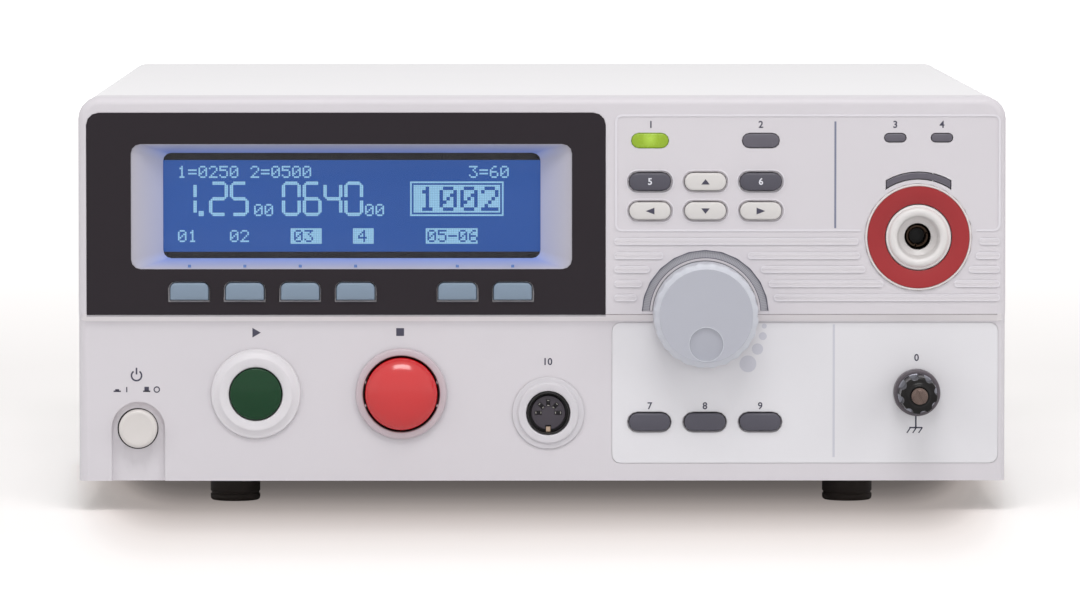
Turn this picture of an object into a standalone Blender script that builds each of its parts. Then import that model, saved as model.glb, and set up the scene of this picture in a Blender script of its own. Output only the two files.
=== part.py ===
"""A bench electrical safety tester as an assembly of separate solids, in metres.

+Z is up, the front faces -Y and +X is to the right seen from the front. The origin is the
middle of the whole outline, on the surface that the feet stand on.
"""

import math

import bmesh
import bpy
from mathutils import Matrix, Vector

# Gaps, and how far a cutter runs past a face and a joined form is sunk in one
clear = 0.0003
running = 0.0003
past = 0.001
sunk = 0.0005

# Case
case_width = 0.330
body_height = 0.137
case_depth = 0.425
foot_height = 0.011
foot_radius = 0.009
foot_inset = 0.054

# Front moulding
panel_wall = 0.003
skirt_depth = 0.018
panel_corner = 0.0077
panel_rim = 0.003
step_low = 0.068
step_high = 0.0706
step_back = 0.0025
boss_radius = 0.003
boss_upper_z = 0.137
boss_lower_z = 0.024

# Where things stand across the front: shares of the case width from its middle, or insets
# from the side of the case that they keep to
recess_left_share = -0.44258
recess_right_share = 0.03152
soft_keys_share = -0.38030
soft_pair_share = -0.09152
start_share = -0.30909
stop_share = -0.15212
remote_share = 0.00652
lower_film_share = 0.07606
power_inset = 0.0211
knob_inset = 0.0329
output_inset = 0.0312
terminal_inset = 0.0316

# Ribs and bead moulded on the upper right of the front
rib_count = 5
rib_height = 0.0025
rib_rise = 0.0004
rib_pitch = 0.00503
rib_top_z = 0.0978
rib_knob_gap = 0.0251
rib_output_gap = 0.0214
bead_width = 0.0006
bead_rise = 0.0003
bead_bottom = 0.1001
bead_top = 0.1417
bead_corner = 0.0025
bead_output_gap = 0.0206

# Sheet metal
sheet = 0.0012
cover_inset = 0.0008
cover_corner = 0.005
rear_sheet = 0.0015
tray_wall_height = 0.013
vent_count = 9
vent_pitch = 0.010
vent_length = 0.036
vent_width = 0.0035
vent_margin = 0.060

# Printed films on the front
film = 0.0008
film_proud = 0.0002
display_film_inset = 0.0032
display_film_top = 0.1421
display_film_corner = 0.0042
film_gap = 0.0028
lower_film_top = 0.0672
lower_film_bottom = 0.0175
lower_film_corner = 0.0029

# Display
recess_bottom = 0.0868
recess_top = 0.13105
recess_corner = 0.0034
recess_depth = 0.008
recess_side_taper = 0.0111
recess_end_taper = 0.0034
frame_wall = 0.002
frame_ear = 0.005
glass = 0.0015
glass_margin = 0.003
module_margin = 0.006
module_depth = 0.008

# Keys
key_travel = 0.001
key_proud = 0.0016
key_flange = 0.001
key_flange_rim = 0.0009
key_stem_half = 0.0015
key_chamfer = 0.0005
soft_key_width = 0.0136
soft_key_height = 0.0061
soft_key_corner = 0.0021
soft_key_z = 0.0788
soft_key_pitch = 0.0197
key_width = 0.0147
key_height = 0.0062
key_pitch_x = 0.0197
key_pitch_z = 0.0104
key_upper_z = 0.1178
key_lower_z = 0.032
key_surround = 0.0009
key_surround_depth = 0.0006

# Key board
board = 0.0016
board_depth = 0.015
board_margin = 0.0055
strip_margin = 0.002
switch_height = 0.005
switch_half = 0.003

# Knob and its encoder
knob_z = 0.0708
knob_radius = 0.0187
knob_face_radius = 0.0167
knob_height = 0.014
knob_lift = 0.0008
dimple_radius = 0.006
dimple_depth = 0.001
dimple_offset = 0.0101
knob_recess_radius = 0.0227
knob_recess_depth = 0.001
knob_recess_end_z = 0.0715
shaft_radius = 0.003
bushing_wall = 0.001
encoder_half = 0.007

# Indicator lenses
lens_proud = 0.0003
lens_z = 0.1324
lens_width = 0.013
lens_height = 0.005
small_lens_z = 0.1334
small_lens_width = 0.0075
small_lens_height = 0.0029
small_lens_spread = 0.0083
lens_flange = 0.0008
arc_inner = 0.0208
arc_outer = 0.0231
arc_half_width = 0.0114

# High-voltage output
output_z = 0.098
ring_radius = 0.0189
ring_bore = 0.0119
ring_sunk = 0.0007
ring_proud = 0.0008
collar_radius = 0.0116
collar_proud = 0.0024
well_radius = 0.0075
socket_bore = 0.0047
socket_nut_radius = 0.0145
socket_length = 0.025
contact_setback = 0.009
contact_wall = 0.0016

# Return terminal
terminal_z = 0.0426
terminal_base_radius = 0.00835
terminal_base_height = 0.005
terminal_spigot_radius = 0.0045
stud_radius = 0.0029
stud_tip = 0.003
stud_tail = 0.012
washer_radius = 0.007
washer_thickness = 0.001
nut_radius = 0.007
nut_length = 0.0135
flute_radius = 0.0016
flute_count = 8

# Start and stop push buttons
button_z = 0.0421
start_radius = 0.0092
start_travel = 0.002
start_collar_radius = 0.016
start_ridge_radius = 0.0135
stop_radius = 0.0129
stop_travel = 0.003
stop_dome = 0.008
stop_gap = 0.0008
stop_collar_radius = 0.0162
button_length = 0.010
barrel_wall = 0.0014
barrel_floor = 0.003

# Power button, its rod and the mains switch
power_z = 0.0298
power_radius = 0.00675
power_proud = 0.004
power_travel = 0.0035
power_pocket_radius = 0.0095
power_pocket_depth = 0.0016
rod_radius = 0.0022
rod_length = 0.060
switch_depth = 0.034
switch_width = 0.016
switch_overlap = 0.004

# Remote socket
remote_z = 0.0352
remote_ring_radius = 0.0128
remote_ridge_radius = 0.0107
remote_barrel_radius = 0.0076
remote_bore = 0.007
remote_insert_radius = 0.0062
remote_length = 0.014
pin_circle_radius = 0.0035
pin_hole_radius = 0.0008
pin_count = 5

# Rear: fan, mains inlet with its fuse drawer, signal port
fan_inset = 0.070
fan_z = 0.080
fan_size = 0.080
fan_depth = 0.025
fan_bore = 0.038
fan_hub_radius = 0.0165
fan_tip_gap = 0.0012
fan_base_thickness = 0.003
strut_half = 0.0025
strut_inset = 0.0002
blade_count = 7
blade_chord = 0.018
blade_thickness = 0.0015
blade_root = 0.0012
blade_root_pitch = 52.0
blade_tip_pitch = 32.0
guard_wire = 0.002
guard_rings = (0.036, 0.027, 0.018)
inlet_inset = 0.045
inlet_z = 0.052
inlet_width = 0.0275
inlet_height = 0.047
inlet_length = 0.024
inlet_flange = 0.002
inlet_flange_rim = 0.0018
mains_cavity_width = 0.0246
mains_cavity_height = 0.017
mains_cavity_depth = 0.015
mains_cavity_rise = 0.009
mains_pin_length = 0.013
drawer_width = 0.0236
drawer_height = 0.009
drawer_length = 0.021
drawer_drop = 0.014
fuse_trough_width = 0.0056
fuse_trough_depth = 0.0058
port_from_inlet = 0.080
port_z = 0.050
port_width = 0.017
port_height = 0.0084
port_slant = 0.0012
port_proud = 0.0059
port_flange_width = 0.031
port_flange_height = 0.0125
port_flange = 0.0008

# Inside the case
main_board_inset = 0.015
main_board_gap = 0.002
main_board_setback = 0.110
main_board_depth = 0.220
stand_height = 0.008
stand_radius = 0.0035
stand_inset = 0.012
transformer_inset = 0.060
transformer_setback = 0.190
transformer_width = 0.070
transformer_depth = 0.085
transformer_height = 0.072
winding_bulge = 0.008
sink_inset = 0.050
sink_setback = 0.040
sink_width = 0.080
sink_depth = 0.028
sink_height = 0.050
sink_plate = 0.004
sink_fin = 0.002
sink_fin_count = 6

# Facets round a circle
fine = 24
medium = 16
coarse = 10

# Places worked out from the sizes above
base_z = foot_height
top_z = base_z + body_height
half_width = case_width / 2
lower_wall_depth = step_back + panel_wall
base_lift = film_proud + clear
washer_lift = base_lift + terminal_base_height + clear
nut_lift = washer_lift + washer_thickness + clear
stud_reach = nut_lift + nut_length + stud_tip
front_reach = stud_reach - step_back
front_y = (front_reach - port_proud - case_depth) / 2
lower_y = front_y + step_back
rear_y = front_y + case_depth
stem_depth = board_depth - switch_height - key_travel - clear
film_pocket = film + clear - film_proud
frame_front = film_pocket
glass_depth = frame_front + recess_depth + clear
module_front = glass_depth + glass + clear
recess_left = recess_left_share * case_width
recess_right = recess_right_share * case_width
lower_film_left = lower_film_share * case_width
lower_film_right = half_width - film_gap
display_film_left = display_film_inset - half_width
display_film_right = lower_film_left - film_gap
start_x = start_share * case_width
stop_x = stop_share * case_width
remote_x = remote_share * case_width
power_x = power_inset - half_width
knob_x = lower_film_left + knob_inset
output_x = half_width - output_inset
terminal_x = half_width - terminal_inset
soft_key_x = [soft_keys_share * case_width + soft_key_pitch * i for i in range(4)]
soft_key_x += [soft_pair_share * case_width + soft_key_pitch * i for i in range(2)]
key_x = [knob_x + key_pitch_x * i for i in (-1, 0, 1)]
key_block_end = key_x[2] + key_width / 2 + key_flange_rim
small_lens_start = output_x - small_lens_spread - small_lens_width / 2 - lens_flange
boss_x = (lower_film_left - 2 * boss_radius, (key_block_end + small_lens_start) / 2)
foot_x = half_width - foot_inset
fan_x = half_width - fan_inset
inlet_x = inlet_inset - half_width
port_x = inlet_x + port_from_inlet
transformer_x = transformer_inset - half_width
main_board_left = transformer_x + transformer_width / 2 + main_board_gap
main_board_right = half_width - main_board_inset
sink_x = main_board_right - sink_inset - sink_width
tray_half_width = half_width - cover_inset - sheet - clear
tray_floor_z = base_z + sheet
shell_y = front_y + skirt_depth + clear
inner_rear_y = rear_y - rear_sheet - clear

turned_to = {
    "up": (0.0, 0.0, 0.0),
    "front": (math.pi / 2, 0.0, 0.0),
    "rear": (math.pi / 2, 0.0, math.pi),
}


def start_scene():
    """Empties the scene and makes one collection for the pieces and one for the cutters."""
    for thing in list(bpy.data.objects):
        bpy.data.objects.remove(thing)
    for name in ("safety_tester", "cutters"):
        bpy.context.scene.collection.children.link(bpy.data.collections.new(name))


def finish(name, colour, roughness, metallic=0.0):
    """A Principled material, with its colour in screen values from 0 to 255."""
    made = bpy.data.materials.new(name)
    made.use_nodes = True
    shader = made.node_tree.nodes["Principled BSDF"]
    linear = [(value / 255) ** 2.2 for value in colour]
    shader.inputs["Base Color"].default_value = (*linear, 1.0)
    shader.inputs["Roughness"].default_value = roughness
    shader.inputs["Metallic"].default_value = metallic
    return made


def place(name, mesh, material, at, facing, tool):
    """Puts a mesh in the scene, its local Z turned up, to the front or to the rear."""
    piece = bpy.data.objects.new(name, mesh)
    piece.location = at
    piece.rotation_euler = turned_to[facing]
    if tool:
        piece.hide_render = True
        piece.display_type = "WIRE"
    else:
        mesh.materials.append(material)
    bpy.data.collections["cutters" if tool else "safety_tester"].objects.link(piece)
    return piece


def solid(name, bm, material=None, at=(0.0, 0.0, 0.0), facing="up"):
    """Makes an object of a bmesh. Without a material it is a tool that shapes other pieces."""
    bmesh.ops.remove_doubles(bm, verts=bm.verts[:], dist=1e-6)
    bmesh.ops.recalc_face_normals(bm, faces=bm.faces[:])
    mesh = bpy.data.meshes.new(name)
    bm.to_mesh(mesh)
    bm.free()
    mesh.shade_smooth()
    mesh.set_sharp_from_angle(angle=math.radians(35))
    return place(name, mesh, material, at, facing, material is None)


def turned(name, profile, material=None, at=(0.0, 0.0, 0.0), facing="front", steps=medium, ring=False):
    """A solid of revolution. Its profile of (radius, height) runs down the outer side."""
    edges = [(i, i + 1) for i in range(len(profile) - 1)]
    if ring:
        edges.append((len(profile) - 1, 0))
    mesh = bpy.data.meshes.new(name)
    mesh.from_pydata([(radius, 0.0, height) for radius, height in profile], edges, [])
    piece = place(name, mesh, material, at, facing, material is None)
    screw = piece.modifiers.new("turn", "SCREW")
    screw.angle = 2 * math.pi
    screw.steps = steps
    screw.render_steps = steps
    screw.use_merge_vertices = True
    screw.merge_threshold = 1e-5
    screw.use_smooth_shade = True
    return piece


def shape(piece, tool, operation="DIFFERENCE"):
    """Cuts a tool from a piece, joins it on, or keeps what they share."""
    tool.hide_render = True
    change = piece.modifiers.new(tool.name, "BOOLEAN")
    change.operation = operation
    change.solver = "EXACT"
    change.object = tool


def add_block(bm, low, high):
    """Adds a box between two corners."""
    low = Vector(low)
    high = Vector(high)
    verts = bmesh.ops.create_cube(bm, size=1.0)["verts"]
    bmesh.ops.scale(bm, vec=high - low, verts=verts)
    bmesh.ops.translate(bm, vec=(high + low) / 2, verts=verts)
    return verts


def round_edges(bm, edges, radius, segments):
    """Rounds edges to a radius."""
    bmesh.ops.bevel(
        bm, geom=edges, offset=radius, offset_type="OFFSET", segments=segments,
        profile=0.5, affect="EDGES", clamp_overlap=True, material=-1,
    )


def add_plate(bm, centre, size, back, front, corner=0.0, low_corner=None, corner_steps=4, rim=0.0):
    """Adds a plate with rounded corners and a chamfered front rim, facing local +Z."""
    low_corner = corner if low_corner is None else low_corner
    older = set(bm.verts)
    half = (size[0] / 2, size[1] / 2)
    low = (centre[0] - half[0], centre[1] - half[1], back)
    high = (centre[0] + half[0], centre[1] + half[1], front)
    verts = add_block(bm, low, high)
    edges = {edge for vert in verts for edge in vert.link_edges}
    upright = [edge for edge in edges if abs(edge.verts[0].co.z - edge.verts[1].co.z) > 1e-6]
    top = [edge for edge in upright if edge.verts[0].co.y > centre[1]]
    bottom = [edge for edge in upright if edge.verts[0].co.y < centre[1]]
    if corner:
        round_edges(bm, top, corner, corner_steps)
    if low_corner:
        round_edges(bm, bottom, low_corner, corner_steps)
    fresh = [vert for vert in bm.verts if vert not in older]
    bmesh.ops.remove_doubles(bm, verts=fresh, dist=1e-6)
    if rim:
        fresh = {vert for vert in bm.verts if vert not in older}
        edges = {edge for vert in fresh for edge in vert.link_edges}
        front_edges = [edge for edge in edges if all(v.co.z > front - 1e-6 for v in edge.verts)]
        round_edges(bm, front_edges, rim, 1)


def add_round(bm, centre, radius, back, front, steps=medium):
    """Adds a cylinder along local Z."""
    middle = Matrix.Translation((centre[0], centre[1], (back + front) / 2))
    bmesh.ops.create_cone(
        bm, cap_ends=True, segments=steps, radius1=radius, radius2=radius,
        depth=front - back, matrix=middle,
    )


def trim(bm, point, normal):
    """Cuts away what lies beyond a plane and closes the cut."""
    geom = bm.verts[:] + bm.edges[:] + bm.faces[:]
    found = bmesh.ops.bisect_plane(bm, geom=geom, plane_co=point, plane_no=normal, clear_outer=True)
    rim = [item for item in found["geom_cut"] if isinstance(item, bmesh.types.BMEdge)]
    bmesh.ops.edgeloop_fill(bm, edges=rim)


def extend(bm, face, half_size, depth):
    """Extrudes a face back by depth, to an outline of the half sizes given."""
    new = bmesh.ops.extrude_discrete_faces(bm, faces=[face])["faces"][0]
    reach_x = max(abs(vert.co.x) for vert in new.verts)
    reach_y = max(abs(vert.co.y) for vert in new.verts)
    for vert in new.verts:
        vert.co.x *= half_size[0] / reach_x
        vert.co.y *= half_size[1] / reach_y
        vert.co.z -= depth
    return new


def panel_form(inset, front, back):
    """The front moulding's outer form drawn in by inset, its upper half proud of the lower."""
    bm = bmesh.new()
    side = half_width - inset
    top = top_z - inset
    add_block(bm, (-side, base_z + inset, back), (side, top, front))
    for height in (step_low, step_high):
        geom = bm.verts[:] + bm.edges[:] + bm.faces[:]
        bmesh.ops.bisect_plane(bm, geom=geom, plane_co=(0, height, 0), plane_no=(0, 1, 0))
    for vert in bm.verts:
        if vert.co.z > front - 1e-6 and vert.co.y < step_low + 1e-6:
            vert.co.z -= step_back
    corners = [
        edge for edge in bm.edges
        if all(vert.co.y > top - 1e-6 for vert in edge.verts)
        and abs(edge.verts[0].co.z - edge.verts[1].co.z) > 1e-6
    ]
    round_edges(bm, corners, panel_corner - inset, 5)
    return bm


def round_front_rim(bm):
    """Rounds the front moulding's outline, apart from its straight bottom edge."""
    bm.normal_update()
    rim = []
    for edge in bm.edges:
        facing = sorted(face.normal.z for face in edge.link_faces)
        on_floor = all(vert.co.y < base_z + 1e-6 for vert in edge.verts)
        if abs(facing[0]) < 0.3 and facing[1] > 0.5 and not on_floor:
            rim.append(edge)
    round_edges(bm, rim, panel_rim, 3)


def arc_bar(name, slack, back, front, material=None):
    """The curved lens over the output, or the opening that it sits in."""
    profile = [
        (arc_outer + slack, front), (arc_outer + slack, back),
        (arc_inner - slack, back), (arc_inner - slack, front),
    ]
    at = (output_x, front_y, output_z)
    bar = turned(name, profile, material, at, steps=2 * fine, ring=True)
    bm = bmesh.new()
    reach = arc_half_width + slack
    add_block(bm, (-reach, 0, back - past), (reach, 2 * arc_outer, front + past))
    shape(bar, solid(name + "_ends", bm, at=at, facing="front"), "INTERSECT")
    return bar


def add_key_openings(bm, x, z, size, corner, low_corner, back, front):
    """Adds the opening that a key moves in."""
    size = (size[0] + 2 * running, size[1] + 2 * running)
    low_corner = low_corner + running if low_corner else 0.0
    add_plate(bm, (x, z), size, back, front, corner + running, low_corner, corner_steps=3)


def cursor_keys():
    """Names and places of the six keys above the knob."""
    names = (("left", "down", "right"), ("escape", "up", "field"))
    for row, row_names in enumerate(names):
        for column, name in enumerate(row_names):
            yield "key_" + name, key_x[column], key_upper_z - key_pitch_z * (1 - row)


def function_keys():
    """Names and places of the three keys under the knob."""
    for column, name in enumerate(("edit", "save", "utility")):
        yield "key_" + name, key_x[column], key_lower_z


def front_lenses():
    """Names, places and sizes of the four straight indicator lenses."""
    large = (lens_width, lens_height)
    small = (small_lens_width, small_lens_height)
    yield "lens_pass", key_x[0], lens_z, large
    yield "lens_fail", key_x[2], lens_z, large
    yield "lens_ready", output_x - small_lens_spread, small_lens_z, small
    yield "lens_test", output_x + small_lens_spread, small_lens_z, small


def film_plate(bm, left, right, bottom, top, corner, low_corner, back, front):
    """Adds a printed film, or the pocket that it lies in."""
    centre = ((left + right) / 2, (bottom + top) / 2)
    add_plate(bm, centre, (right - left, top - bottom), back, front, corner, low_corner, corner_steps=3)


def display_recess(bm, grow, back, front):
    """Adds a plate of the display recess's outline, grown by a wall or a gap."""
    film_plate(
        bm, recess_left - grow, recess_right + grow, recess_bottom - grow, recess_top + grow,
        recess_corner + grow, recess_corner + grow, back, front,
    )


def panel_relief():
    """The ribs and the bead on the upper right, broken off round the knob and the output."""
    at = (0, front_y, 0)
    left = lower_film_left + bead_width
    right = lower_film_right + bead_width
    bars = bmesh.new()
    for number in range(rib_count):
        centre = ((left + right) / 2, rib_top_z - rib_height / 2 - rib_pitch * number)
        size = (right - left, rib_height)
        add_plate(bars, centre, size, -sunk, rib_rise, rib_height / 2 - sunk, corner_steps=2)
    ribs = solid("ribs", bars, at=at, facing="front")
    gaps = bmesh.new()
    add_round(gaps, (knob_x, knob_z), rib_knob_gap, -past, past, fine)
    add_round(gaps, (output_x, output_z), rib_output_gap, -past, past, fine)
    shape(ribs, solid("rib_gaps", gaps, at=at, facing="front"))

    outline = bmesh.new()
    film_plate(
        outline, left, right, bead_bottom, bead_top, bead_corner, bead_corner, -sunk, bead_rise,
    )
    bead = solid("bead", outline, at=at, facing="front")
    inner = bmesh.new()
    film_plate(
        inner, left + bead_width, right - bead_width, bead_bottom + bead_width,
        bead_top - bead_width, bead_corner - bead_width, bead_corner - bead_width, -past, past,
    )
    shape(bead, solid("bead_inside", inner, at=at, facing="front"))
    gap = bmesh.new()
    low = (output_x - bead_output_gap, bead_bottom - past, -past)
    add_block(gap, low, (output_x + bead_output_gap, bead_bottom + bead_width + past, past))
    shape(bead, solid("bead_gap", gap, at=at, facing="front"))
    return ribs, bead


def front_panel(material):
    """The front moulding: a shell with its pockets, openings and the bosses behind it."""
    at = (0, front_y, 0)
    bm = panel_form(0, 0, -skirt_depth)
    round_front_rim(bm)
    panel = solid("front_panel", bm, material, at, "front")
    hollow = panel_form(panel_wall, -panel_wall, -skirt_depth - past)
    shape(panel, solid("panel_hollow", hollow, at=at, facing="front"))

    pockets = bmesh.new()
    film_plate(
        pockets, display_film_left - clear, display_film_right + clear, step_low + sunk,
        display_film_top + clear, display_film_corner + clear, 0.0, -film_pocket, past,
    )
    film_plate(
        pockets, lower_film_left - clear, lower_film_right + clear, lower_film_bottom - clear,
        lower_film_top + clear, lower_film_corner, lower_film_corner, -step_back - film_pocket, past,
    )
    surround = (key_width + 2 * key_surround, key_height + 2 * key_surround)
    for _, x, z in cursor_keys():
        corner = surround[1] / 2
        add_plate(pockets, (x, z), surround, -key_surround_depth, past, corner, corner_steps=3)
    power_size = (2 * power_pocket_radius, 2 * power_pocket_radius + power_z)
    floor = -step_back - power_pocket_depth
    centre = (power_x, power_z + power_pocket_radius - power_size[1] / 2)
    add_plate(pockets, centre, power_size, floor, past, power_pocket_radius, 0.0, corner_steps=6)
    add_round(pockets, (output_x, output_z), ring_radius + clear, -ring_sunk - clear, past, fine)
    shape(panel, solid("panel_pockets", pockets, at=at, facing="front"))

    crescent = bmesh.new()
    add_round(crescent, (knob_x, knob_z), knob_recess_radius, -knob_recess_depth, past, fine)
    trim(crescent, (0, knob_recess_end_z, 0), (0, -1, 0))
    shape(panel, solid("knob_recess", crescent, at=at, facing="front"))

    front = 2 * past
    back = -lower_wall_depth - past
    openings = bmesh.new()
    display_recess(openings, frame_wall + clear, back, front)
    for x in soft_key_x:
        size = (soft_key_width, soft_key_height)
        add_key_openings(openings, x, soft_key_z, size, soft_key_corner, 0.0, back, front)
    for _, x, z in [*cursor_keys(), *function_keys()]:
        size = (key_width, key_height)
        add_key_openings(openings, x, z, size, key_height / 2, key_height / 2, back, front)
    for _, x, z, size in front_lenses():
        grown = (size[0] + 2 * clear, size[1] + 2 * clear)
        add_plate(openings, (x, z), grown, back, front, grown[1] / 2, corner_steps=3)
    rounds = (
        (knob_x, knob_z, shaft_radius + running + bushing_wall + clear),
        (output_x, output_z, collar_radius + clear),
        (terminal_x, terminal_z, terminal_spigot_radius + clear),
        (start_x, button_z, start_radius + running + barrel_wall + clear),
        (stop_x, button_z, stop_radius + stop_gap + barrel_wall + clear),
        (remote_x, remote_z, remote_barrel_radius + clear),
        (power_x, power_z, power_radius + running),
    )
    for x, z, radius in rounds:
        add_round(openings, (x, z), radius, back, front)
    shape(panel, solid("panel_openings", openings, at=at, facing="front"))
    shape(panel, arc_bar("arc_opening", clear, back, front))

    bosses = bmesh.new()
    for x in boss_x:
        for z, start in ((boss_upper_z, panel_wall), (boss_lower_z, lower_wall_depth)):
            add_round(bosses, (x, z), boss_radius, clear - board_depth, sunk - start, coarse)
    shape(panel, solid("panel_bosses", bosses, at=at, facing="front"), "UNION")
    for relief in panel_relief():
        shape(panel, relief, "UNION")


def films(display_material, lower_material):
    """The dark film round the display and the white film on the lower right."""
    front = film_proud
    bm = bmesh.new()
    film_plate(
        bm, display_film_left, display_film_right, step_high, display_film_top,
        display_film_corner, 0.0, front - film, front,
    )
    at = (0, front_y, 0)
    display = solid("display_overlay", bm, display_material, at, "front")
    window = bmesh.new()
    display_recess(window, 0.0, -film - past, past)
    for x in soft_key_x:
        size = (soft_key_width + 2 * running, soft_key_height + 2 * running)
        corner = soft_key_corner + running
        add_key_openings(window, x, soft_key_z, size, corner, 0.0, -film - past, past)
    shape(display, solid("display_overlay_openings", window, at=at, facing="front"))

    bm = bmesh.new()
    film_plate(
        bm, lower_film_left, lower_film_right, lower_film_bottom, lower_film_top,
        lower_film_corner, lower_film_corner, front - film, front,
    )
    at = (0, lower_y, 0)
    lower = solid("lower_overlay", bm, lower_material, at, "front")
    holes = bmesh.new()
    for _, x, z in function_keys():
        size = (key_width + 2 * running, key_height + 2 * running)
        corner = key_height / 2 + running
        add_key_openings(holes, x, z, size, corner, corner, -film - past, past)
    spigot = terminal_spigot_radius + clear
    add_round(holes, (terminal_x, terminal_z), spigot, -film - past, past)
    bushing = shaft_radius + running + bushing_wall + 2 * clear
    add_round(holes, (knob_x, knob_z), bushing, -film - past, past)
    shape(lower, solid("lower_overlay_openings", holes, at=at, facing="front"))


def display(frame_material, glass_material, module_material):
    """The display: a tapered frame held by its ears, the glass and the module behind it."""
    at = (0, front_y, 0)
    back = -frame_front - recess_depth
    bm = bmesh.new()
    display_recess(bm, frame_wall, back, -frame_front)
    frame = solid("display_frame", bm, frame_material, at, "front")
    ears = bmesh.new()
    reach = frame_wall + clear + frame_ear
    add_block(
        ears, (recess_left - reach, recess_bottom, back),
        (recess_right + reach, recess_top, -panel_wall - clear),
    )
    shape(frame, solid("display_frame_ears", ears, at=at, facing="front"), "UNION")

    taper = bmesh.new()
    display_recess(taper, 0.0, back, -frame_front)
    middle_x = (recess_left + recess_right) / 2
    middle_z = (recess_bottom + recess_top) / 2
    narrow_x = 1 - 2 * recess_side_taper / (recess_right - recess_left)
    narrow_z = 1 - 2 * recess_end_taper / (recess_top - recess_bottom)
    for vert in taper.verts:
        if vert.co.z < back + 1e-6:
            vert.co.x = middle_x + (vert.co.x - middle_x) * narrow_x
            vert.co.y = middle_z + (vert.co.y - middle_z) * narrow_z
    ends = sorted(taper.faces, key=lambda face: face.calc_center_median().z)
    for face, move in ((ends[0], -past), (ends[-1], past)):
        new = bmesh.ops.extrude_discrete_faces(taper, faces=[face])["faces"][0]
        for vert in new.verts:
            vert.co.z += move
    shape(frame, solid("display_frame_taper", taper, at=at, facing="front"))

    left = recess_left + recess_side_taper - glass_margin
    right = recess_right - recess_side_taper + glass_margin
    bottom = recess_bottom + recess_end_taper - glass_margin + clear
    top = recess_top - recess_end_taper + glass_margin
    pieces = (
        ("display_glass", glass_material, 0.0, glass_depth, glass),
        ("display_module", module_material, module_margin, module_front, module_depth),
    )
    for name, material, margin, start, thickness in pieces:
        bm = bmesh.new()
        low = (left - margin, bottom, -start - thickness)
        add_block(bm, low, (right + margin, top + margin / 2, -start))
        solid(name, bm, material, at, "front")


def key_form(size, corner, low_corner, stem):
    """A key: its cap, the flange that keeps it in the panel, and a stem to its switch."""
    bm = bmesh.new()
    back = -panel_wall - clear
    add_plate(bm, (0, 0), size, back, key_proud, corner, low_corner, corner_steps=3, rim=key_chamfer)
    face = min(bm.faces, key=lambda item: item.calc_center_median().z)
    flange = (size[0] / 2 + key_flange_rim, size[1] / 2 + key_flange_rim)
    stem_half = (key_stem_half, key_stem_half)
    face = extend(bm, face, flange, 0.0)
    face = extend(bm, face, flange, key_flange)
    face = extend(bm, face, stem_half, 0.0)
    extend(bm, face, stem_half, stem + back - key_flange)
    return bm


def keys(soft_material, light_material, dark_material):
    """All fifteen keys, each free to slide in its opening."""
    for number, x in enumerate(soft_key_x, 1):
        bm = key_form((soft_key_width, soft_key_height), soft_key_corner, 0.0, stem_depth)
        solid("soft_key_" + str(number), bm, soft_material, (x, front_y, soft_key_z), "front")
    size = (key_width, key_height)
    round_end = key_height / 2
    for name, x, z in cursor_keys():
        bm = key_form(size, round_end, round_end, stem_depth)
        material = dark_material if name in ("key_escape", "key_field") else light_material
        solid(name, bm, material, (x, front_y, z), "front")
    for name, x, z in function_keys():
        bm = key_form(size, round_end, round_end, stem_depth - step_back)
        solid(name, bm, dark_material, (x, lower_y, z), "front")


def key_board(material):
    """The circuit board behind the keys, one switch under each stem."""
    at = (0, front_y, 0)
    left = boss_x[0] - 1.5 * boss_radius
    right = boss_x[1] + 1.5 * boss_radius
    bm = bmesh.new()
    low = (left, boss_lower_z - board_margin, -board_depth - board)
    add_block(bm, low, (right, boss_upper_z + board_margin, -board_depth))
    made = solid("key_board", bm, material, at, "front")
    strip = bmesh.new()
    half = soft_key_height / 2 + strip_margin
    add_block(
        strip, (soft_key_x[0] - soft_key_width / 2, soft_key_z - half, -board_depth - board),
        (left + past, soft_key_z + half, -board_depth),
    )
    shape(made, solid("soft_key_strip", strip, at=at, facing="front"), "UNION")
    switches = bmesh.new()
    places = [(x, soft_key_z) for x in soft_key_x]
    places += [(x, z) for _, x, z in [*cursor_keys(), *function_keys()]]
    for x, z in places:
        low = (x - switch_half, z - switch_half, -board_depth - board / 2)
        add_block(switches, low, (x + switch_half, z + switch_half, switch_height - board_depth))
    shape(made, solid("key_switches", switches, at=at, facing="front"), "UNION")


def lenses(lit_material, dark_material):
    """The four straight lenses and the curved one over the output."""
    back = -panel_wall - clear
    for name, x, z, size in front_lenses():
        bm = bmesh.new()
        add_plate(bm, (0, 0), size, back, lens_proud, size[1] / 2, corner_steps=3)
        face = min(bm.faces, key=lambda item: item.calc_center_median().z)
        flange = (size[0] / 2 + lens_flange, size[1] / 2 + lens_flange)
        face = extend(bm, face, flange, 0.0)
        extend(bm, face, flange, lens_flange)
        material = lit_material if name == "lens_pass" else dark_material
        solid(name, bm, material, (x, front_y, z), "front")
    arc_bar("lens_output", 0.0, back, lens_proud, dark_material)


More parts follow.
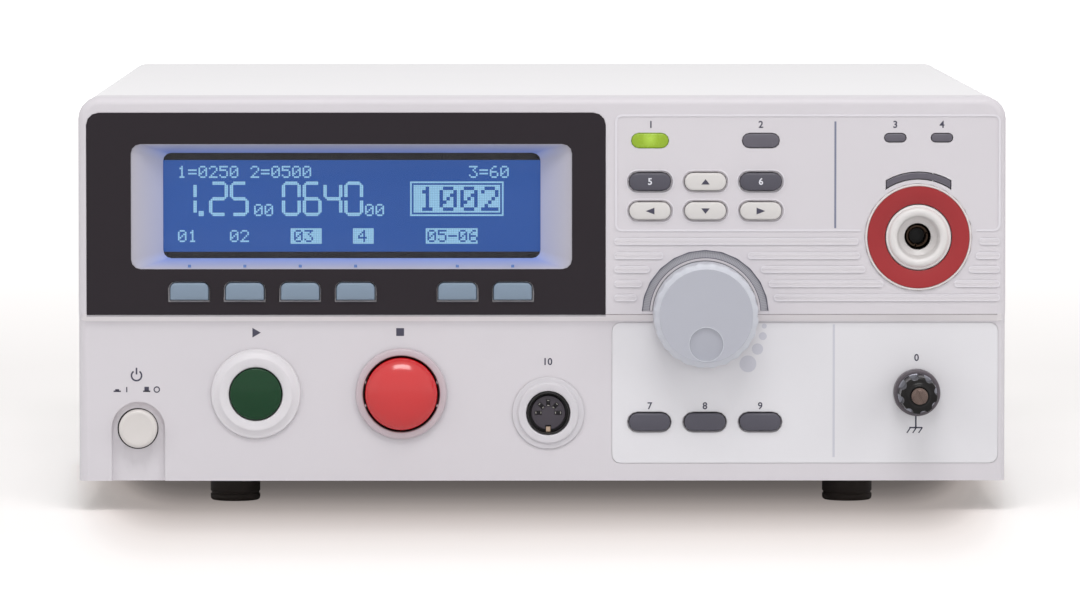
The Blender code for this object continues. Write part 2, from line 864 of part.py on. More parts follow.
def knob_and_encoder(knob_material, metal, board_material):
    """The knob on its shaft, and the fixed encoder that the shaft turns in."""
    at = (knob_x, front_y, knob_z)
    face = knob_lift + knob_height
    bore = shaft_radius + clear
    bore_end = knob_lift + knob_height * 0.65
    profile = [
        (0, face), (knob_face_radius - 0.0006, face), (knob_face_radius + 0.0002, face - 0.0005),
        (knob_radius - 0.0007, face - 0.0022), (knob_radius, face - 0.0045),
        (knob_radius, knob_lift), (bore, knob_lift), (bore, bore_end), (0, bore_end),
    ]
    knob = turned("knob", profile, knob_material, at, steps=fine)
    dish = [
        (0, face + 0.001), (dimple_radius, face + 0.001), (dimple_radius, face),
        (dimple_radius * 0.7, face - dimple_depth * 0.7), (0, face - dimple_depth),
    ]
    dish_at = (knob_x, front_y, knob_z - dimple_offset)
    shape(knob, turned("knob_dimple", dish, at=dish_at, steps=medium))

    body_front = -lower_wall_depth - clear
    body_back = clear - board_depth
    bm = bmesh.new()
    size = (2 * encoder_half, 2 * encoder_half)
    add_plate(bm, (0, 0), size, body_back, body_front)
    encoder = solid("encoder", bm, board_material, at, "front")
    bushing = bmesh.new()
    bushing_radius = shaft_radius + running + bushing_wall
    add_round(bushing, (0, 0), bushing_radius, body_front - 0.001, knob_lift - clear)
    shape(encoder, solid("encoder_bushing", bushing, at=at, facing="front"), "UNION")
    hole = bmesh.new()
    add_round(hole, (0, 0), shaft_radius + running, body_back + 0.002, knob_lift + 0.001)
    shape(encoder, solid("encoder_bore", hole, at=at, facing="front"))

    shaft = bmesh.new()
    add_round(shaft, (0, 0), shaft_radius, body_back + 0.002 + clear, bore_end - clear)
    shaft = solid("encoder_shaft", shaft, metal, at, "front")
    flat = bmesh.new()
    low = (-2 * shaft_radius, shaft_radius * 0.5, knob_lift)
    add_block(flat, low, (2 * shaft_radius, 2 * shaft_radius, face))
    shape(shaft, solid("shaft_flat", flat, at=at, facing="front"))


def output_socket(ring_material, insulator, metal):
    """The high-voltage output: its ring, the insulating socket and the contact in the bore."""
    at = (output_x, front_y, output_z)
    ring = [
        (ring_radius - 0.0004, ring_proud), (ring_radius, ring_proud - 0.0004),
        (ring_radius, -ring_sunk), (ring_bore, -ring_sunk), (ring_bore, ring_proud),
    ]
    turned("hv_ring", ring, ring_material, at, steps=fine, ring=True)
    nut_front = -panel_wall - clear
    bore_end = contact_setback - socket_length
    lip = (collar_radius + well_radius) / 2
    socket = [
        (0, bore_end), (socket_bore, bore_end), (socket_bore, -well_radius * 0.7),
        (well_radius - 0.0004, -well_radius * 0.45), (well_radius, collar_proud * 0.4),
        (lip - 0.0011, collar_proud * 0.92), (lip, collar_proud), (collar_radius - 0.0006, collar_proud * 0.8),
        (collar_radius, collar_proud * 0.4), (collar_radius, nut_front),
        (socket_nut_radius, nut_front), (socket_nut_radius, nut_front - 0.0045),
        (collar_radius - 0.0015, nut_front - 0.0045), (collar_radius - 0.0035, -socket_length),
        (0, -socket_length),
    ]
    turned("hv_socket", socket, insulator, at, steps=fine - 8)
    outer = socket_bore - clear
    inner = outer - contact_wall
    contact = [(outer, -contact_setback), (outer, bore_end + clear)]
    contact += [(inner, bore_end + clear), (inner, -contact_setback)]
    turned("hv_contact", contact, metal, at, steps=coarse, ring=True)


def return_terminal(base_material, metal, nut_material):
    """The return terminal: an insulated base, a slotted stud, a washer and a fluted nut."""
    at = (terminal_x, lower_y, terminal_z)
    bore = stud_radius + running
    base_top = base_lift + terminal_base_height
    base = [
        (terminal_base_radius - 0.0012, base_top), (terminal_base_radius - 0.0002, base_top - 0.0008),
        (terminal_base_radius, base_lift), (terminal_spigot_radius, base_lift),
        (terminal_spigot_radius, -panel_wall - 0.003), (bore, -panel_wall - 0.003), (bore, base_top),
    ]
    turned("return_base", base, base_material, at, ring=True)
    washer = [(washer_radius, washer_lift + washer_thickness), (washer_radius, washer_lift)]
    washer += [(bore, washer_lift), (bore, washer_lift + washer_thickness)]
    turned("return_washer", washer, metal, at, ring=True)
    nut_top = nut_lift + nut_length
    nut = [
        (nut_radius - 0.001, nut_top), (nut_radius, nut_top - 0.001), (nut_radius, nut_lift),
        (bore, nut_lift), (bore, nut_top),
    ]
    nut = turned("return_nut", nut, nut_material, at, steps=fine - 4, ring=True)
    flutes = bmesh.new()
    for number in range(flute_count):
        angle = 2 * math.pi * number / flute_count
        centre = (nut_radius * 1.06 * math.cos(angle), nut_radius * 1.06 * math.sin(angle))
        add_round(flutes, centre, flute_radius, nut_lift - 0.001, nut_top + 0.001, 10)
    shape(nut, solid("nut_flutes", flutes, at=at, facing="front"))
    stud = [
        (0, stud_reach), (stud_radius - 0.0006, stud_reach), (stud_radius, stud_reach - 0.0006),
        (stud_radius, -stud_tail), (0, -stud_tail),
    ]
    stud = turned("return_stud", stud, metal, at, steps=coarse)
    slot = bmesh.new()
    add_block(slot, (-0.0004, -0.004, stud_reach - 0.0012), (0.0004, 0.004, stud_reach + 0.001))
    turn = Matrix.Rotation(math.radians(30), 3, "Z")
    bmesh.ops.rotate(slot, cent=(0, 0, 0), matrix=turn, verts=slot.verts[:])
    shape(stud, solid("stud_slot", slot, at=at, facing="front"))


def push_button(name, x, button, collar, radius, gap, travel, cap, lip, materials):
    """A push button in a closed barrel. Cap and lip are profiles given above the panel."""
    at = (x, lower_y, button_z)
    turned(name + "_button", [*cap, (radius, -button_length), (0, -button_length)], materials[0], at, steps=button)
    bore = radius + gap
    barrel = bore + barrel_wall
    floor = -button_length - travel - clear
    profile = [(0, floor), (bore, floor), *lip, (barrel, clear), (barrel, floor - barrel_floor)]
    profile.append((0, floor - barrel_floor))
    turned(name + "_collar", profile, materials[1], at, steps=collar)


def start_and_stop(green, white, red, grey):
    """The start button in its raised collar, and the domed stop button in its ring."""
    bore = start_radius + running
    cap = [
        (0, 0.0042), (start_radius * 0.6, 0.0039), (start_radius - 0.0010, 0.0030),
        (start_radius, 0.0020),
    ]
    lip = [
        (bore, 0.0016), (bore + 0.0008, 0.0024), (start_ridge_radius - 0.0008, 0.0028),
        (start_ridge_radius, 0.0022), (start_collar_radius, 0.0010), (start_collar_radius, clear),
    ]
    push_button(
        "start", start_x, medium, fine - 4, start_radius, running, start_travel, cap, lip, (green, white),
    )
    bore = stop_radius + stop_gap
    cap = [(0, stop_dome)]
    for degrees in (25, 45, 65, 82):
        angle = math.radians(degrees)
        rise = 0.0022 + (stop_dome - 0.0022) * math.cos(angle)
        cap.append((stop_radius * math.sin(angle), rise))
    cap.append((stop_radius, 0.0022))
    lip = [
        (bore, 0.0018), (bore + 0.0006, 0.0024), (stop_collar_radius - 0.0008, 0.0020),
        (stop_collar_radius, 0.0012), (stop_collar_radius, clear),
    ]
    push_button(
        "stop", stop_x, fine - 4, fine - 4, stop_radius, stop_gap, stop_travel, cap, lip, (red, grey),
    )


def power(cap_material, switch_material):
    """The power button on its long rod, and the mains switch that the rod works."""
    flange_front = -panel_wall - running
    cap = [
        (0, power_proud), (power_radius - 0.0012, power_proud), (power_radius, power_proud - 0.0010),
        (power_radius, flange_front), (power_radius + 0.0012, flange_front),
        (power_radius + 0.0012, flange_front - 0.0015), (rod_radius, flange_front - 0.0035),
        (rod_radius, -rod_length), (0, -rod_length),
    ]
    turned("power_button", cap, cap_material, (power_x, lower_y, power_z), steps=medium)
    switch_y = lower_y + rod_length - switch_overlap
    low = (power_x - switch_width / 2, switch_y, tray_floor_z + clear)
    high_z = power_z + switch_width / 2
    bm = bmesh.new()
    add_block(bm, low, (power_x + switch_width / 2, switch_y + switch_depth, high_z))
    switch = solid("power_switch", bm, switch_material)
    hole = bmesh.new()
    depth = switch_overlap + power_travel + clear
    add_round(hole, (0, 0), rod_radius + running, -depth, 0.001, coarse)
    shape(switch, solid("rod_hole", hole, at=(power_x, switch_y, power_z), facing="front"))


def remote(ring_material, socket_material):
    """The round remote socket: a moulded ring, and the barrel with its pin insert."""
    at = (remote_x, lower_y, remote_z)
    bore = remote_barrel_radius + clear
    ring = [
        (remote_ridge_radius - 0.0004, 0.0015), (remote_ridge_radius, 0.0008),
        (remote_ring_radius - 0.0002, 0.0007), (remote_ring_radius, clear), (bore, clear),
        (bore, 0.0011), (bore + 0.0004, 0.0015),
    ]
    turned("remote_ring", ring, ring_material, at, steps=fine - 4, ring=True)
    groove = -remote_length * 0.5
    barrel = [
        (0, -0.0008), (remote_insert_radius, -0.0008), (remote_insert_radius, groove),
        (remote_bore, groove), (remote_bore, 0.0012), (remote_barrel_radius, 0.0012),
        (remote_barrel_radius, -remote_length), (0, -remote_length),
    ]
    socket = turned("remote_socket", barrel, socket_material, at)
    holes = bmesh.new()
    for number in range(pin_count):
        angle = math.pi * number / (pin_count - 1)
        centre = (pin_circle_radius * math.cos(angle), pin_circle_radius * math.sin(angle))
        add_round(holes, centre, pin_hole_radius, -0.006, 0.001, 8)
    shape(socket, solid("pin_holes", holes, at=at, facing="front"))


def open_shell(low, high, missing, corner=0.0):
    """An open box surface for sheet metal, without the faces that point the missing ways."""
    bm = bmesh.new()
    add_block(bm, low, high)
    if corner:
        top = [
            edge for edge in bm.edges
            if all(vert.co.z > high[2] - 1e-6 for vert in edge.verts)
            and abs(edge.verts[0].co.x - edge.verts[1].co.x) < 1e-6
        ]
        round_edges(bm, top, corner, 4)
    bm.normal_update()
    gone = [face for face in bm.faces if any(face.normal.dot(Vector(way)) > 0.99 for way in missing)]
    bmesh.ops.delete(bm, geom=gone, context="FACES")
    return bm


def sheet_metal(piece, thickness):
    """Gives an open surface its thickness, inwards."""
    wall = piece.modifiers.new("sheet", "SOLIDIFY")
    wall.thickness = thickness
    wall.offset = -1.0
    wall.use_even_offset = True


def case(cover_material, steel, rubber):
    """The folded cover and tray, the rear panel and the four feet."""
    reach = half_width - cover_inset
    low = (-reach, shell_y, base_z)
    high = (reach, rear_y, top_z - cover_inset)
    bm = open_shell(low, high, ((0, 0, -1), (0, 1, 0), (0, -1, 0)), cover_corner)
    cover = solid("top_cover", bm, cover_material)
    sheet_metal(cover, sheet)
    vents = bmesh.new()
    middle = (base_z + top_z) / 2
    for start in (shell_y + vent_margin, rear_y - vent_margin - vent_count * vent_pitch):
        for number in range(vent_count):
            y = start + vent_pitch * number
            low = (-half_width - past, y, middle - vent_length / 2)
            add_block(vents, low, (half_width + past, y + vent_width, middle + vent_length / 2))
    shape(cover, solid("side_vents", vents))

    low = (-tray_half_width, shell_y, base_z)
    high = (tray_half_width, inner_rear_y, base_z + tray_wall_height)
    tray = solid("bottom_chassis", open_shell(low, high, ((0, 0, 1),)), steel)
    sheet_metal(tray, sheet)
    stands = bmesh.new()
    for x in (main_board_left + stand_inset, main_board_right - stand_inset):
        for offset in (stand_inset, main_board_depth - stand_inset):
            centre = (x, front_y + main_board_setback + offset)
            stand_top = tray_floor_z + stand_height
            add_round(stands, centre, stand_radius, tray_floor_z - sunk, stand_top, coarse)
    shape(tray, solid("board_stands", stands), "UNION")

    bm = bmesh.new()
    low_z = tray_floor_z + clear
    high_z = top_z - cover_inset - sheet - clear
    size = (2 * tray_half_width, high_z - low_z)
    corner = cover_corner - sheet
    add_plate(bm, (0, (low_z + high_z) / 2), size, -rear_sheet, 0.0, corner, 0.0, corner_steps=3)
    rear = solid("rear_panel", bm, steel, (0, rear_y, 0), "rear")
    holes = bmesh.new()
    add_round(holes, (-fan_x, fan_z), fan_bore, -0.01, 0.01, fine)
    grown = (inlet_width + 2 * clear, inlet_height + 2 * clear)
    add_plate(holes, (-inlet_x, inlet_z), grown, -0.01, 0.01)
    grown = (port_width + 2 * clear, port_height + 2 * clear)
    add_plate(holes, (-port_x, port_z), grown, -0.01, 0.01)
    shape(rear, solid("rear_openings", holes, at=(0, rear_y, 0), facing="rear"))

    foot_top = foot_height - clear
    foot = [
        (0, foot_top), (foot_radius, foot_top), (foot_radius, 0.0015),
        (foot_radius - 0.0010, 0), (0, 0),
    ]
    for side, x in (("left", -foot_x), ("right", foot_x)):
        for end, y in (("front", front_y + foot_inset), ("rear", rear_y - foot_inset)):
            turned("foot_" + end + "_" + side, foot, rubber, (x, y, 0), "up")


def add_blade(blades, root, tip, middle, turn):
    """Adds a twisted blade, its two ends curved round the hub's axis."""
    bm = bmesh.new()
    half = (blade_chord / 2, blade_thickness / 2)
    add_block(bm, (root, -half[0], -half[1]), (tip, half[0], half[1]))
    length = [edge for edge in bm.edges if abs(edge.verts[0].co.x - edge.verts[1].co.x) > 1e-6]
    bmesh.ops.subdivide_edges(bm, edges=length, cuts=2, use_grid_fill=True)
    for vert in bm.verts:
        share = (vert.co.x - root) / (tip - root)
        pitch = blade_root_pitch + (blade_tip_pitch - blade_root_pitch) * share
        vert.co = Matrix.Rotation(math.radians(pitch), 3, "X") @ vert.co
        vert.co.x = math.sqrt(vert.co.x ** 2 - vert.co.y ** 2)
        vert.co.z += middle
    bmesh.ops.rotate(bm, cent=(0, 0, 0), matrix=turn, verts=bm.verts[:])
    mesh = bpy.data.meshes.new("blade")
    bm.to_mesh(mesh)
    bm.free()
    blades.from_mesh(mesh)
    bpy.data.meshes.remove(mesh)


def fan(frame_material, rotor_material, wire):
    """The fan: a frame with its motor base and struts, the bladed rotor, and the finger guard."""
    at = (fan_x, rear_y, fan_z)
    front = -rear_sheet - clear
    back = front - fan_depth
    base_top = back + fan_base_thickness
    shaft = stud_radius / 2
    bm = bmesh.new()
    add_plate(bm, (0, 0), (fan_size, fan_size), back, front, 0.004, corner_steps=3)
    frame = solid("fan_frame", bm, frame_material, at, "rear")
    bore = bmesh.new()
    add_round(bore, (0, 0), fan_bore, back - 0.001, front + 0.001, fine)
    shape(frame, solid("fan_bore", bore, at=at, facing="rear"))
    base = bmesh.new()
    add_round(base, (0, 0), fan_hub_radius, back, base_top)
    shape(frame, solid("fan_base", base, at=at, facing="rear"), "UNION")
    struts = bmesh.new()
    for number in range(4):
        turn = Matrix.Rotation(math.pi / 4 + math.pi / 2 * number, 3, "Z")
        low = (fan_hub_radius - 2 * past, -strut_half, back + strut_inset)
        verts = add_block(struts, low, (fan_bore + past, strut_half, base_top - strut_inset))
        bmesh.ops.rotate(struts, cent=(0, 0, 0), matrix=turn, verts=verts)
    shape(frame, solid("fan_struts", struts, at=at, facing="rear"), "UNION")
    bearing = bmesh.new()
    add_round(bearing, (0, 0), shaft + running, back - 0.001, base_top + 0.001, coarse)
    shape(frame, solid("fan_bearing", bearing, at=at, facing="rear"))

    hub_back = base_top + running
    hub_front = front - 0.0025
    hub = [
        (0, hub_front), (fan_hub_radius - 0.001, hub_front), (fan_hub_radius, hub_front - 0.001),
        (fan_hub_radius, hub_back), (shaft, hub_back), (shaft, back + 0.0005), (0, back + 0.0005),
    ]
    rotor = turned("fan_rotor", hub, rotor_material, at, "rear")
    tip = fan_bore - fan_tip_gap
    blades = bmesh.new()
    middle = (hub_back + hub_front) / 2
    for number in range(blade_count):
        turn = Matrix.Rotation(2 * math.pi * number / blade_count, 3, "Z")
        add_blade(blades, fan_hub_radius - blade_root, tip, middle, turn)
    shape(rotor, solid("fan_blades", blades, at=at, facing="rear"), "UNION")

    middle = clear + guard_wire / 2
    guard = None
    for radius in guard_rings:
        wire_profile = [
            (radius + guard_wire / 2, middle), (radius, middle - guard_wire / 2),
            (radius - guard_wire / 2, middle), (radius, middle + guard_wire / 2),
        ]
        material = wire if guard is None else None
        name = "fan_guard" if guard is None else "guard_ring"
        ring = turned(name, wire_profile, material, at, "rear", steps=medium, ring=True)
        if guard is None:
            guard = ring
        else:
            shape(guard, ring, "UNION")
    arms = bmesh.new()
    arm_reach = fan_size / 2 * 1.3
    low = (-arm_reach, -guard_wire / 2, clear)
    verts = add_block(arms, low, (arm_reach, guard_wire / 2, guard_wire))
    bmesh.ops.rotate(arms, cent=(0, 0, 0), matrix=Matrix.Rotation(math.pi / 4, 3, "Z"), verts=verts)
    shape(guard, solid("guard_arm", arms, at=at, facing="rear"), "UNION")
    arms = bmesh.new()
    verts = add_block(arms, low, (arm_reach, guard_wire / 2, guard_wire))
    bmesh.ops.rotate(arms, cent=(0, 0, 0), matrix=Matrix.Rotation(-math.pi / 4, 3, "Z"), verts=verts)
    shape(guard, solid("guard_cross_arm", arms, at=at, facing="rear"), "UNION")


def mains_inlet(body_material, drawer_material):
    """The mains inlet with its three pins, and the fuse drawer that slides out under it."""
    at = (inlet_x, rear_y, inlet_z)
    front = clear + inlet_flange
    bm = bmesh.new()
    add_plate(bm, (0, 0), (inlet_width, inlet_height), -inlet_length, clear + 0.0005)
    inlet = solid("mains_inlet", bm, body_material, at, "rear")
    flange = bmesh.new()
    size = (inlet_width + 2 * inlet_flange_rim, inlet_height + 2 * inlet_flange_rim)
    add_plate(flange, (0, 0), size, clear, front, 0.002, corner_steps=2)
    shape(inlet, solid("inlet_flange", flange, at=at, facing="rear"), "UNION")
    hollows = bmesh.new()
    size = (mains_cavity_width, mains_cavity_height)
    floor = front - mains_cavity_depth
    add_plate(hollows, (0, mains_cavity_rise), size, floor, front + 0.001, 0.004, 0.0008, corner_steps=1)
    size = (drawer_width + 2 * running, drawer_height + 2 * running)
    add_plate(hollows, (0, -drawer_drop), size, front - drawer_length - running, front + 0.001)
    shape(inlet, solid("inlet_hollows", hollows, at=at, facing="rear"))
    pins = bmesh.new()
    for x, rise in ((-0.007, -0.002), (0.007, -0.002), (0.0, 0.002)):
        centre = (x, mains_cavity_rise + rise)
        add_plate(pins, centre, (0.002, 0.004), floor - 0.001, floor + mains_pin_length)
    shape(inlet, solid("mains_pins", pins, at=at, facing="rear"), "UNION")

    bm = bmesh.new()
    size = (drawer_width, drawer_height)
    add_plate(bm, (0, -drawer_drop), size, front - drawer_length, front)
    drawer = solid("fuse_drawer", bm, drawer_material, at, "rear")
    trough = bmesh.new()
    top = drawer_height / 2 - drawer_drop
    low = (-fuse_trough_width / 2, top - fuse_trough_depth, front - drawer_length + 0.0015)
    add_block(trough, low, (fuse_trough_width / 2, top + 0.001, front - 0.003))
    shape(drawer, solid("fuse_trough", trough, at=at, facing="rear"))


def signal_port(metal):
    """The signal port on the rear panel: a flange and its tapered shell."""
    at = (port_x, rear_y, port_z)
    bm = bmesh.new()
    add_plate(bm, (0, 0), (port_width, port_height), -0.008, port_proud, 0.0015, corner_steps=2)
    for vert in bm.verts:
        if vert.co.y < 0:
            vert.co.x -= math.copysign(port_slant, vert.co.x)
    port = solid("signal_port", bm, metal, at, "rear")
    flange = bmesh.new()
    size = (port_flange_width, port_flange_height)
    add_plate(flange, (0, 0), size, clear, clear + port_flange, 0.001, corner_steps=2)
    shape(port, solid("port_flange", flange, at=at, facing="rear"), "UNION")
    hollow = bmesh.new()
    size = (port_width - 0.003, port_height - 0.002)
    add_plate(hollow, (0, 0), size, port_proud - 0.0008, port_proud + 0.001)
    shape(port, solid("port_hollow", hollow, at=at, facing="rear"))


def inside(board_material, core_material):
    """The main board with its heat sink, and the high-voltage transformer on the tray."""
    board_z = tray_floor_z + stand_height + clear
    board_y = front_y + main_board_setback
    bm = bmesh.new()
    high = (main_board_right, board_y + main_board_depth, board_z + board)
    add_block(bm, (main_board_left, board_y, board_z), high)
    main = solid("main_board", bm, board_material)
    plate = bmesh.new()
    foot_z = board_z + board / 2
    low = (sink_x, board_y + sink_setback, foot_z)
    high = (sink_x + sink_width, board_y + sink_setback + sink_plate, board_z + sink_height)
    add_block(plate, low, high)
    shape(main, solid("sink_plate", plate), "UNION")
    fins = bmesh.new()
    pitch = (sink_width - sink_fin) / (sink_fin_count - 1)
    for number in range(sink_fin_count):
        x = sink_x + pitch * number
        low = (x, board_y + sink_setback + sink_plate / 2, foot_z)
        high = (x + sink_fin, board_y + sink_setback + sink_depth, board_z + sink_height - sink_plate / 4)
        add_block(fins, low, high)
    shape(main, solid("sink_fins", fins), "UNION")

    floor = tray_floor_z + clear
    centre_y = front_y + transformer_setback
    reach_x = transformer_width / 2
    reach_y = transformer_depth / 2
    core = bmesh.new()
    low = (transformer_x - reach_x, centre_y - reach_y, floor)
    add_block(core, low, (transformer_x + reach_x, centre_y + reach_y, floor + transformer_height))
    transformer = solid("hv_transformer", core, core_material)
    winding = bmesh.new()
    depth = transformer_depth * 0.6
    size = (transformer_width + 2 * winding_bulge, depth)
    top = floor + transformer_height * 0.8
    add_plate(winding, (0, 0), size, floor + transformer_height * 0.2, top, winding_bulge)
    tool = solid("transformer_winding", winding, at=(transformer_x, centre_y, 0))
    shape(transformer, tool, "UNION")


def build():
    """Makes every piece in its finish."""
    start_scene()
    white = finish("white_moulding", (217, 212, 216), 0.45)
    cover = finish("white_paint", (242, 240, 241), 0.5)
    dark_film = finish("dark_film", (53, 48, 54), 0.35)
    pale_film = finish("pale_film", (228, 226, 230), 0.45)
    pale_key = finish("pale_key", (238, 234, 228), 0.45)
    dark_key = finish("dark_key", (88, 86, 96), 0.45)
    soft_key = finish("soft_key", (140, 158, 175), 0.4)
    green = finish("green_plastic", (46, 80, 58), 0.35)
    red = finish("red_plastic", (200, 50, 52), 0.3)
    grey = finish("grey_plastic", (181, 182, 192), 0.4)
    lit = finish("lit_lens", (165, 200, 50), 0.25)
    unlit = finish("unlit_lens", (107, 102, 112), 0.3)
    clear_glass = finish("display_window", (58, 90, 155), 0.1)
    black = finish("black_plastic", (34, 30, 30), 0.45)
    rubber = finish("black_rubber", (33, 28, 25), 0.8)
    steel = finish("plated_steel", (176, 176, 172), 0.4, 1.0)
    nickel = finish("nickel", (190, 184, 176), 0.3, 1.0)
    green_board = finish("circuit_board", (32, 92, 58), 0.5)
    front_panel(white)
    films(dark_film, pale_film)
    display(grey, clear_glass, steel)
    keys(soft_key, pale_key, dark_key)
    key_board(green_board)
    lenses(lit, unlit)
    knob_and_encoder(grey, nickel, steel)
    output_socket(red, pale_key, nickel)
    return_terminal(black, nickel, black)
    start_and_stop(green, white, red, grey)
    power(pale_key, black)
    remote(white, black)
    case(cover, steel, rubber)
    fan(black, black, nickel)
    mains_inlet(black, black)
    signal_port(nickel)
    inside(green_board, steel)


build()
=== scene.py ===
"""A bench electrical safety tester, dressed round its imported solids.

+Z is up, the front faces -Y and +X is to the right seen from the front, all in metres.
"""

import math

import bmesh
import bpy
from mathutils import Matrix, Vector


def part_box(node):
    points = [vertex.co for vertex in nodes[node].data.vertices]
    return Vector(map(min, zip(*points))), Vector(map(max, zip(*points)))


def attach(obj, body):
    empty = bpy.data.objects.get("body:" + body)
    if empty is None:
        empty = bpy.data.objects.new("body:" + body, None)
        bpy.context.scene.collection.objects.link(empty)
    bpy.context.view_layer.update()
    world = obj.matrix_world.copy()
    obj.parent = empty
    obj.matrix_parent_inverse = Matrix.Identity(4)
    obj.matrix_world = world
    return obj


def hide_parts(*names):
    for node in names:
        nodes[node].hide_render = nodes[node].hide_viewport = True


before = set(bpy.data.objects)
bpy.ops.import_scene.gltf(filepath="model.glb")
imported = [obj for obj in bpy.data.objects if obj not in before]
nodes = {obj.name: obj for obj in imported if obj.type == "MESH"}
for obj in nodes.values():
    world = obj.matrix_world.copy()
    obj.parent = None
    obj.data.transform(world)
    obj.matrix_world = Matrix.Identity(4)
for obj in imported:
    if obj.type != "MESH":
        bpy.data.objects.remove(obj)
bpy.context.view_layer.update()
rib_rise = 0.0004
front_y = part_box("front_panel")[0].y + rib_rise
lower_y = front_y + 0.0025

# The camera stands a little left of the middle, 2.8 m in front and just above the case,
# with a long lens, as a product photographer sets it to keep the sides straight.
camera_distance = 2.8
camera_x = -0.0196
camera_z = 0.2427
aim = Vector((-0.0008, front_y, 0.0737))
camera_data = bpy.data.cameras.new("camera")
camera_data.lens = 262.8
camera_data.clip_end = 100
camera = bpy.data.objects.new("camera", camera_data)
camera.location = (camera_x, front_y - camera_distance, camera_z)
camera.rotation_euler = (aim - camera.location).to_track_quat("-Z", "Y").to_euler()
bpy.context.scene.collection.objects.link(camera)
bpy.context.scene.camera = camera
bpy.context.scene.view_settings.view_transform = "Standard"


class Socket:
    """An output of a shader node. Sums written in Python add its Math nodes."""

    def __init__(self, tree, output=None):
        self.tree = tree
        self.output = output

    def node(self, kind, links, pick=0, stops=None, **settings):
        """Adds any other node: first its settings, then the values or links of its sockets."""
        made = self.tree.nodes.new(kind)
        for name, value in settings.items():
            setattr(made, name, value)
        if stops:
            ramp = made.color_ramp.elements
            while len(ramp) < len(stops):
                ramp.new(0.5)
            for element, (position, colour) in zip(ramp, stops):
                element.position = position
                element.color = (*colour, 1.0)
        for name, value in links.items():
            if isinstance(value, Socket):
                self.tree.links.new(value.output, made.inputs[name])
            else:
                made.inputs[name].default_value = value
        return Socket(self.tree, made.outputs[pick] if made.outputs else None)

    def maths(self, operation, first, second=0.0):
        """Adds one Math node."""
        return self.node("ShaderNodeMath", {0: first, 1: second}, operation=operation)

    def part(self, axis):
        """One coordinate of a vector."""
        return self.node("ShaderNodeSeparateXYZ", {"Vector": self}, pick=axis)

    def into(self, shader, name):
        """Links the value to a socket of a shader."""
        self.tree.links.new(self.output, shader.inputs[name])

    def __add__(self, other):
        return self.maths("ADD", self, other)

    __radd__ = __add__

    def __sub__(self, other):
        return self.maths("SUBTRACT", self, other)

    def __rsub__(self, other):
        return self.maths("SUBTRACT", other, self)

    def __mul__(self, other):
        return self.maths("MULTIPLY", self, other)

    __rmul__ = __mul__

    def __truediv__(self, other):
        return self.maths("DIVIDE", self, other)

    def __gt__(self, other):
        return self.maths("GREATER_THAN", self, other)

    def __lt__(self, other):
        return self.maths("LESS_THAN", self, other)


# The sweep of white paper that the tester stands on, lit from everywhere. Most of its
# shadow in front of the tester and under it is drawn: there the camera alone sees a darker
# and warmer paper with some glow, by shades that were set by comparing levels.
world_light = 0.62
paper = 0.80
shadow_tint = (1.0, 0.90, 0.86)
straight_half = 0.120
side_reach = 0.050
side_pull = 0.28
shade_start = 0.15
shade_length = 0.45
plain_radius = 0.6
world = bpy.data.worlds.new("studio")
bpy.context.scene.world = world
world.use_nodes = True
studio = Socket(world.node_tree)
rays = world.node_tree.nodes.new("ShaderNodeLightPath")
seen = Socket(world.node_tree, rays.outputs["Is Camera Ray"])
seen = seen + Socket(world.node_tree, rays.outputs["Is Glossy Ray"])
seen = seen + Socket(world.node_tree, rays.outputs["Is Transmission Ray"])
seen = studio.maths("MINIMUM", seen, 1.0)
background = world.node_tree.nodes["Background"]
background.inputs["Color"].default_value = (1, 1, 1, 1)
strength = world_light + seen * (1 - world_light)
strength.into(background, "Strength")

bm = bmesh.new()
bmesh.ops.create_grid(bm, x_segments=1, y_segments=1, size=30)
mesh = bpy.data.meshes.new("floor")
bm.to_mesh(mesh)
bm.free()
floor = bpy.data.objects.new("floor", mesh)
bpy.context.scene.collection.objects.link(floor)
sweep = bpy.data.materials.new("white_paper")
sweep.use_nodes = True
shader = sweep.node_tree.nodes["Principled BSDF"]
shader.inputs["Roughness"].default_value = 0.9
shader.inputs["Specular IOR Level"].default_value = 0.0
rays = sweep.node_tree.nodes.new("ShaderNodeLightPath")
paper_tree = Socket(sweep.node_tree)
places = paper_tree.node("ShaderNodeTexCoord", {}, pick=3)
across = paper_tree.maths("ABSOLUTE", places.part(0))
along = paper_tree.maths("ABSOLUTE", places.part(1))
aside = paper_tree.maths("MAXIMUM", across - straight_half, 0.0) / side_reach
outside = (along + front_y + aside * aside * aside * side_pull + shade_start) / shade_length
camera_ray = Socket(sweep.node_tree, rays.outputs["Is Camera Ray"])
shades = (
    (0.0, 0.18), (0.22, 0.12), (0.29, 0.03), (0.318, 0.06), (0.391, 0.22), (0.464, 0.40),
    (0.537, 0.58), (0.61, 0.69), (0.683, 0.75), (0.78, paper),
)
lifts = (
    (0.0, 0.10), (0.098, 0.135), (0.172, 0.195), (0.245, 0.30), (0.29, 0.375), (0.318, 0.382),
    (0.391, 0.366), (0.464, 0.313), (0.537, 0.27), (0.61, 0.228), (0.683, 0.206), (0.78, 0.218),
    (1.0, 0.26),
)
ramps = []
for pairs in (shades, lifts):
    stops = []
    for place, level in pairs:
        warmth = min(1.1, 1.5 * (1 - place))
        stops.append((place, [level * tint ** warmth for tint in shadow_tint]))
    ramps.append(paper_tree.node("ShaderNodeValToRGB", {"Fac": outside}, stops=stops))
links = {0: camera_ray, 6: (paper, paper, paper, 1), 7: ramps[0]}
shade = paper_tree.node("ShaderNodeMix", links, pick=2, data_type="RGBA")
shade.into(shader, "Base Color")
ramps[1].into(shader, "Emission Color")
away = paper_tree.node("ShaderNodeVectorMath", {0: places}, pick=1, operation="LENGTH")
lift = (paper_tree.maths("MAXIMUM", away - plain_radius, 0.0) + 1.0) * camera_ray
lift.into(shader, "Emission Strength")
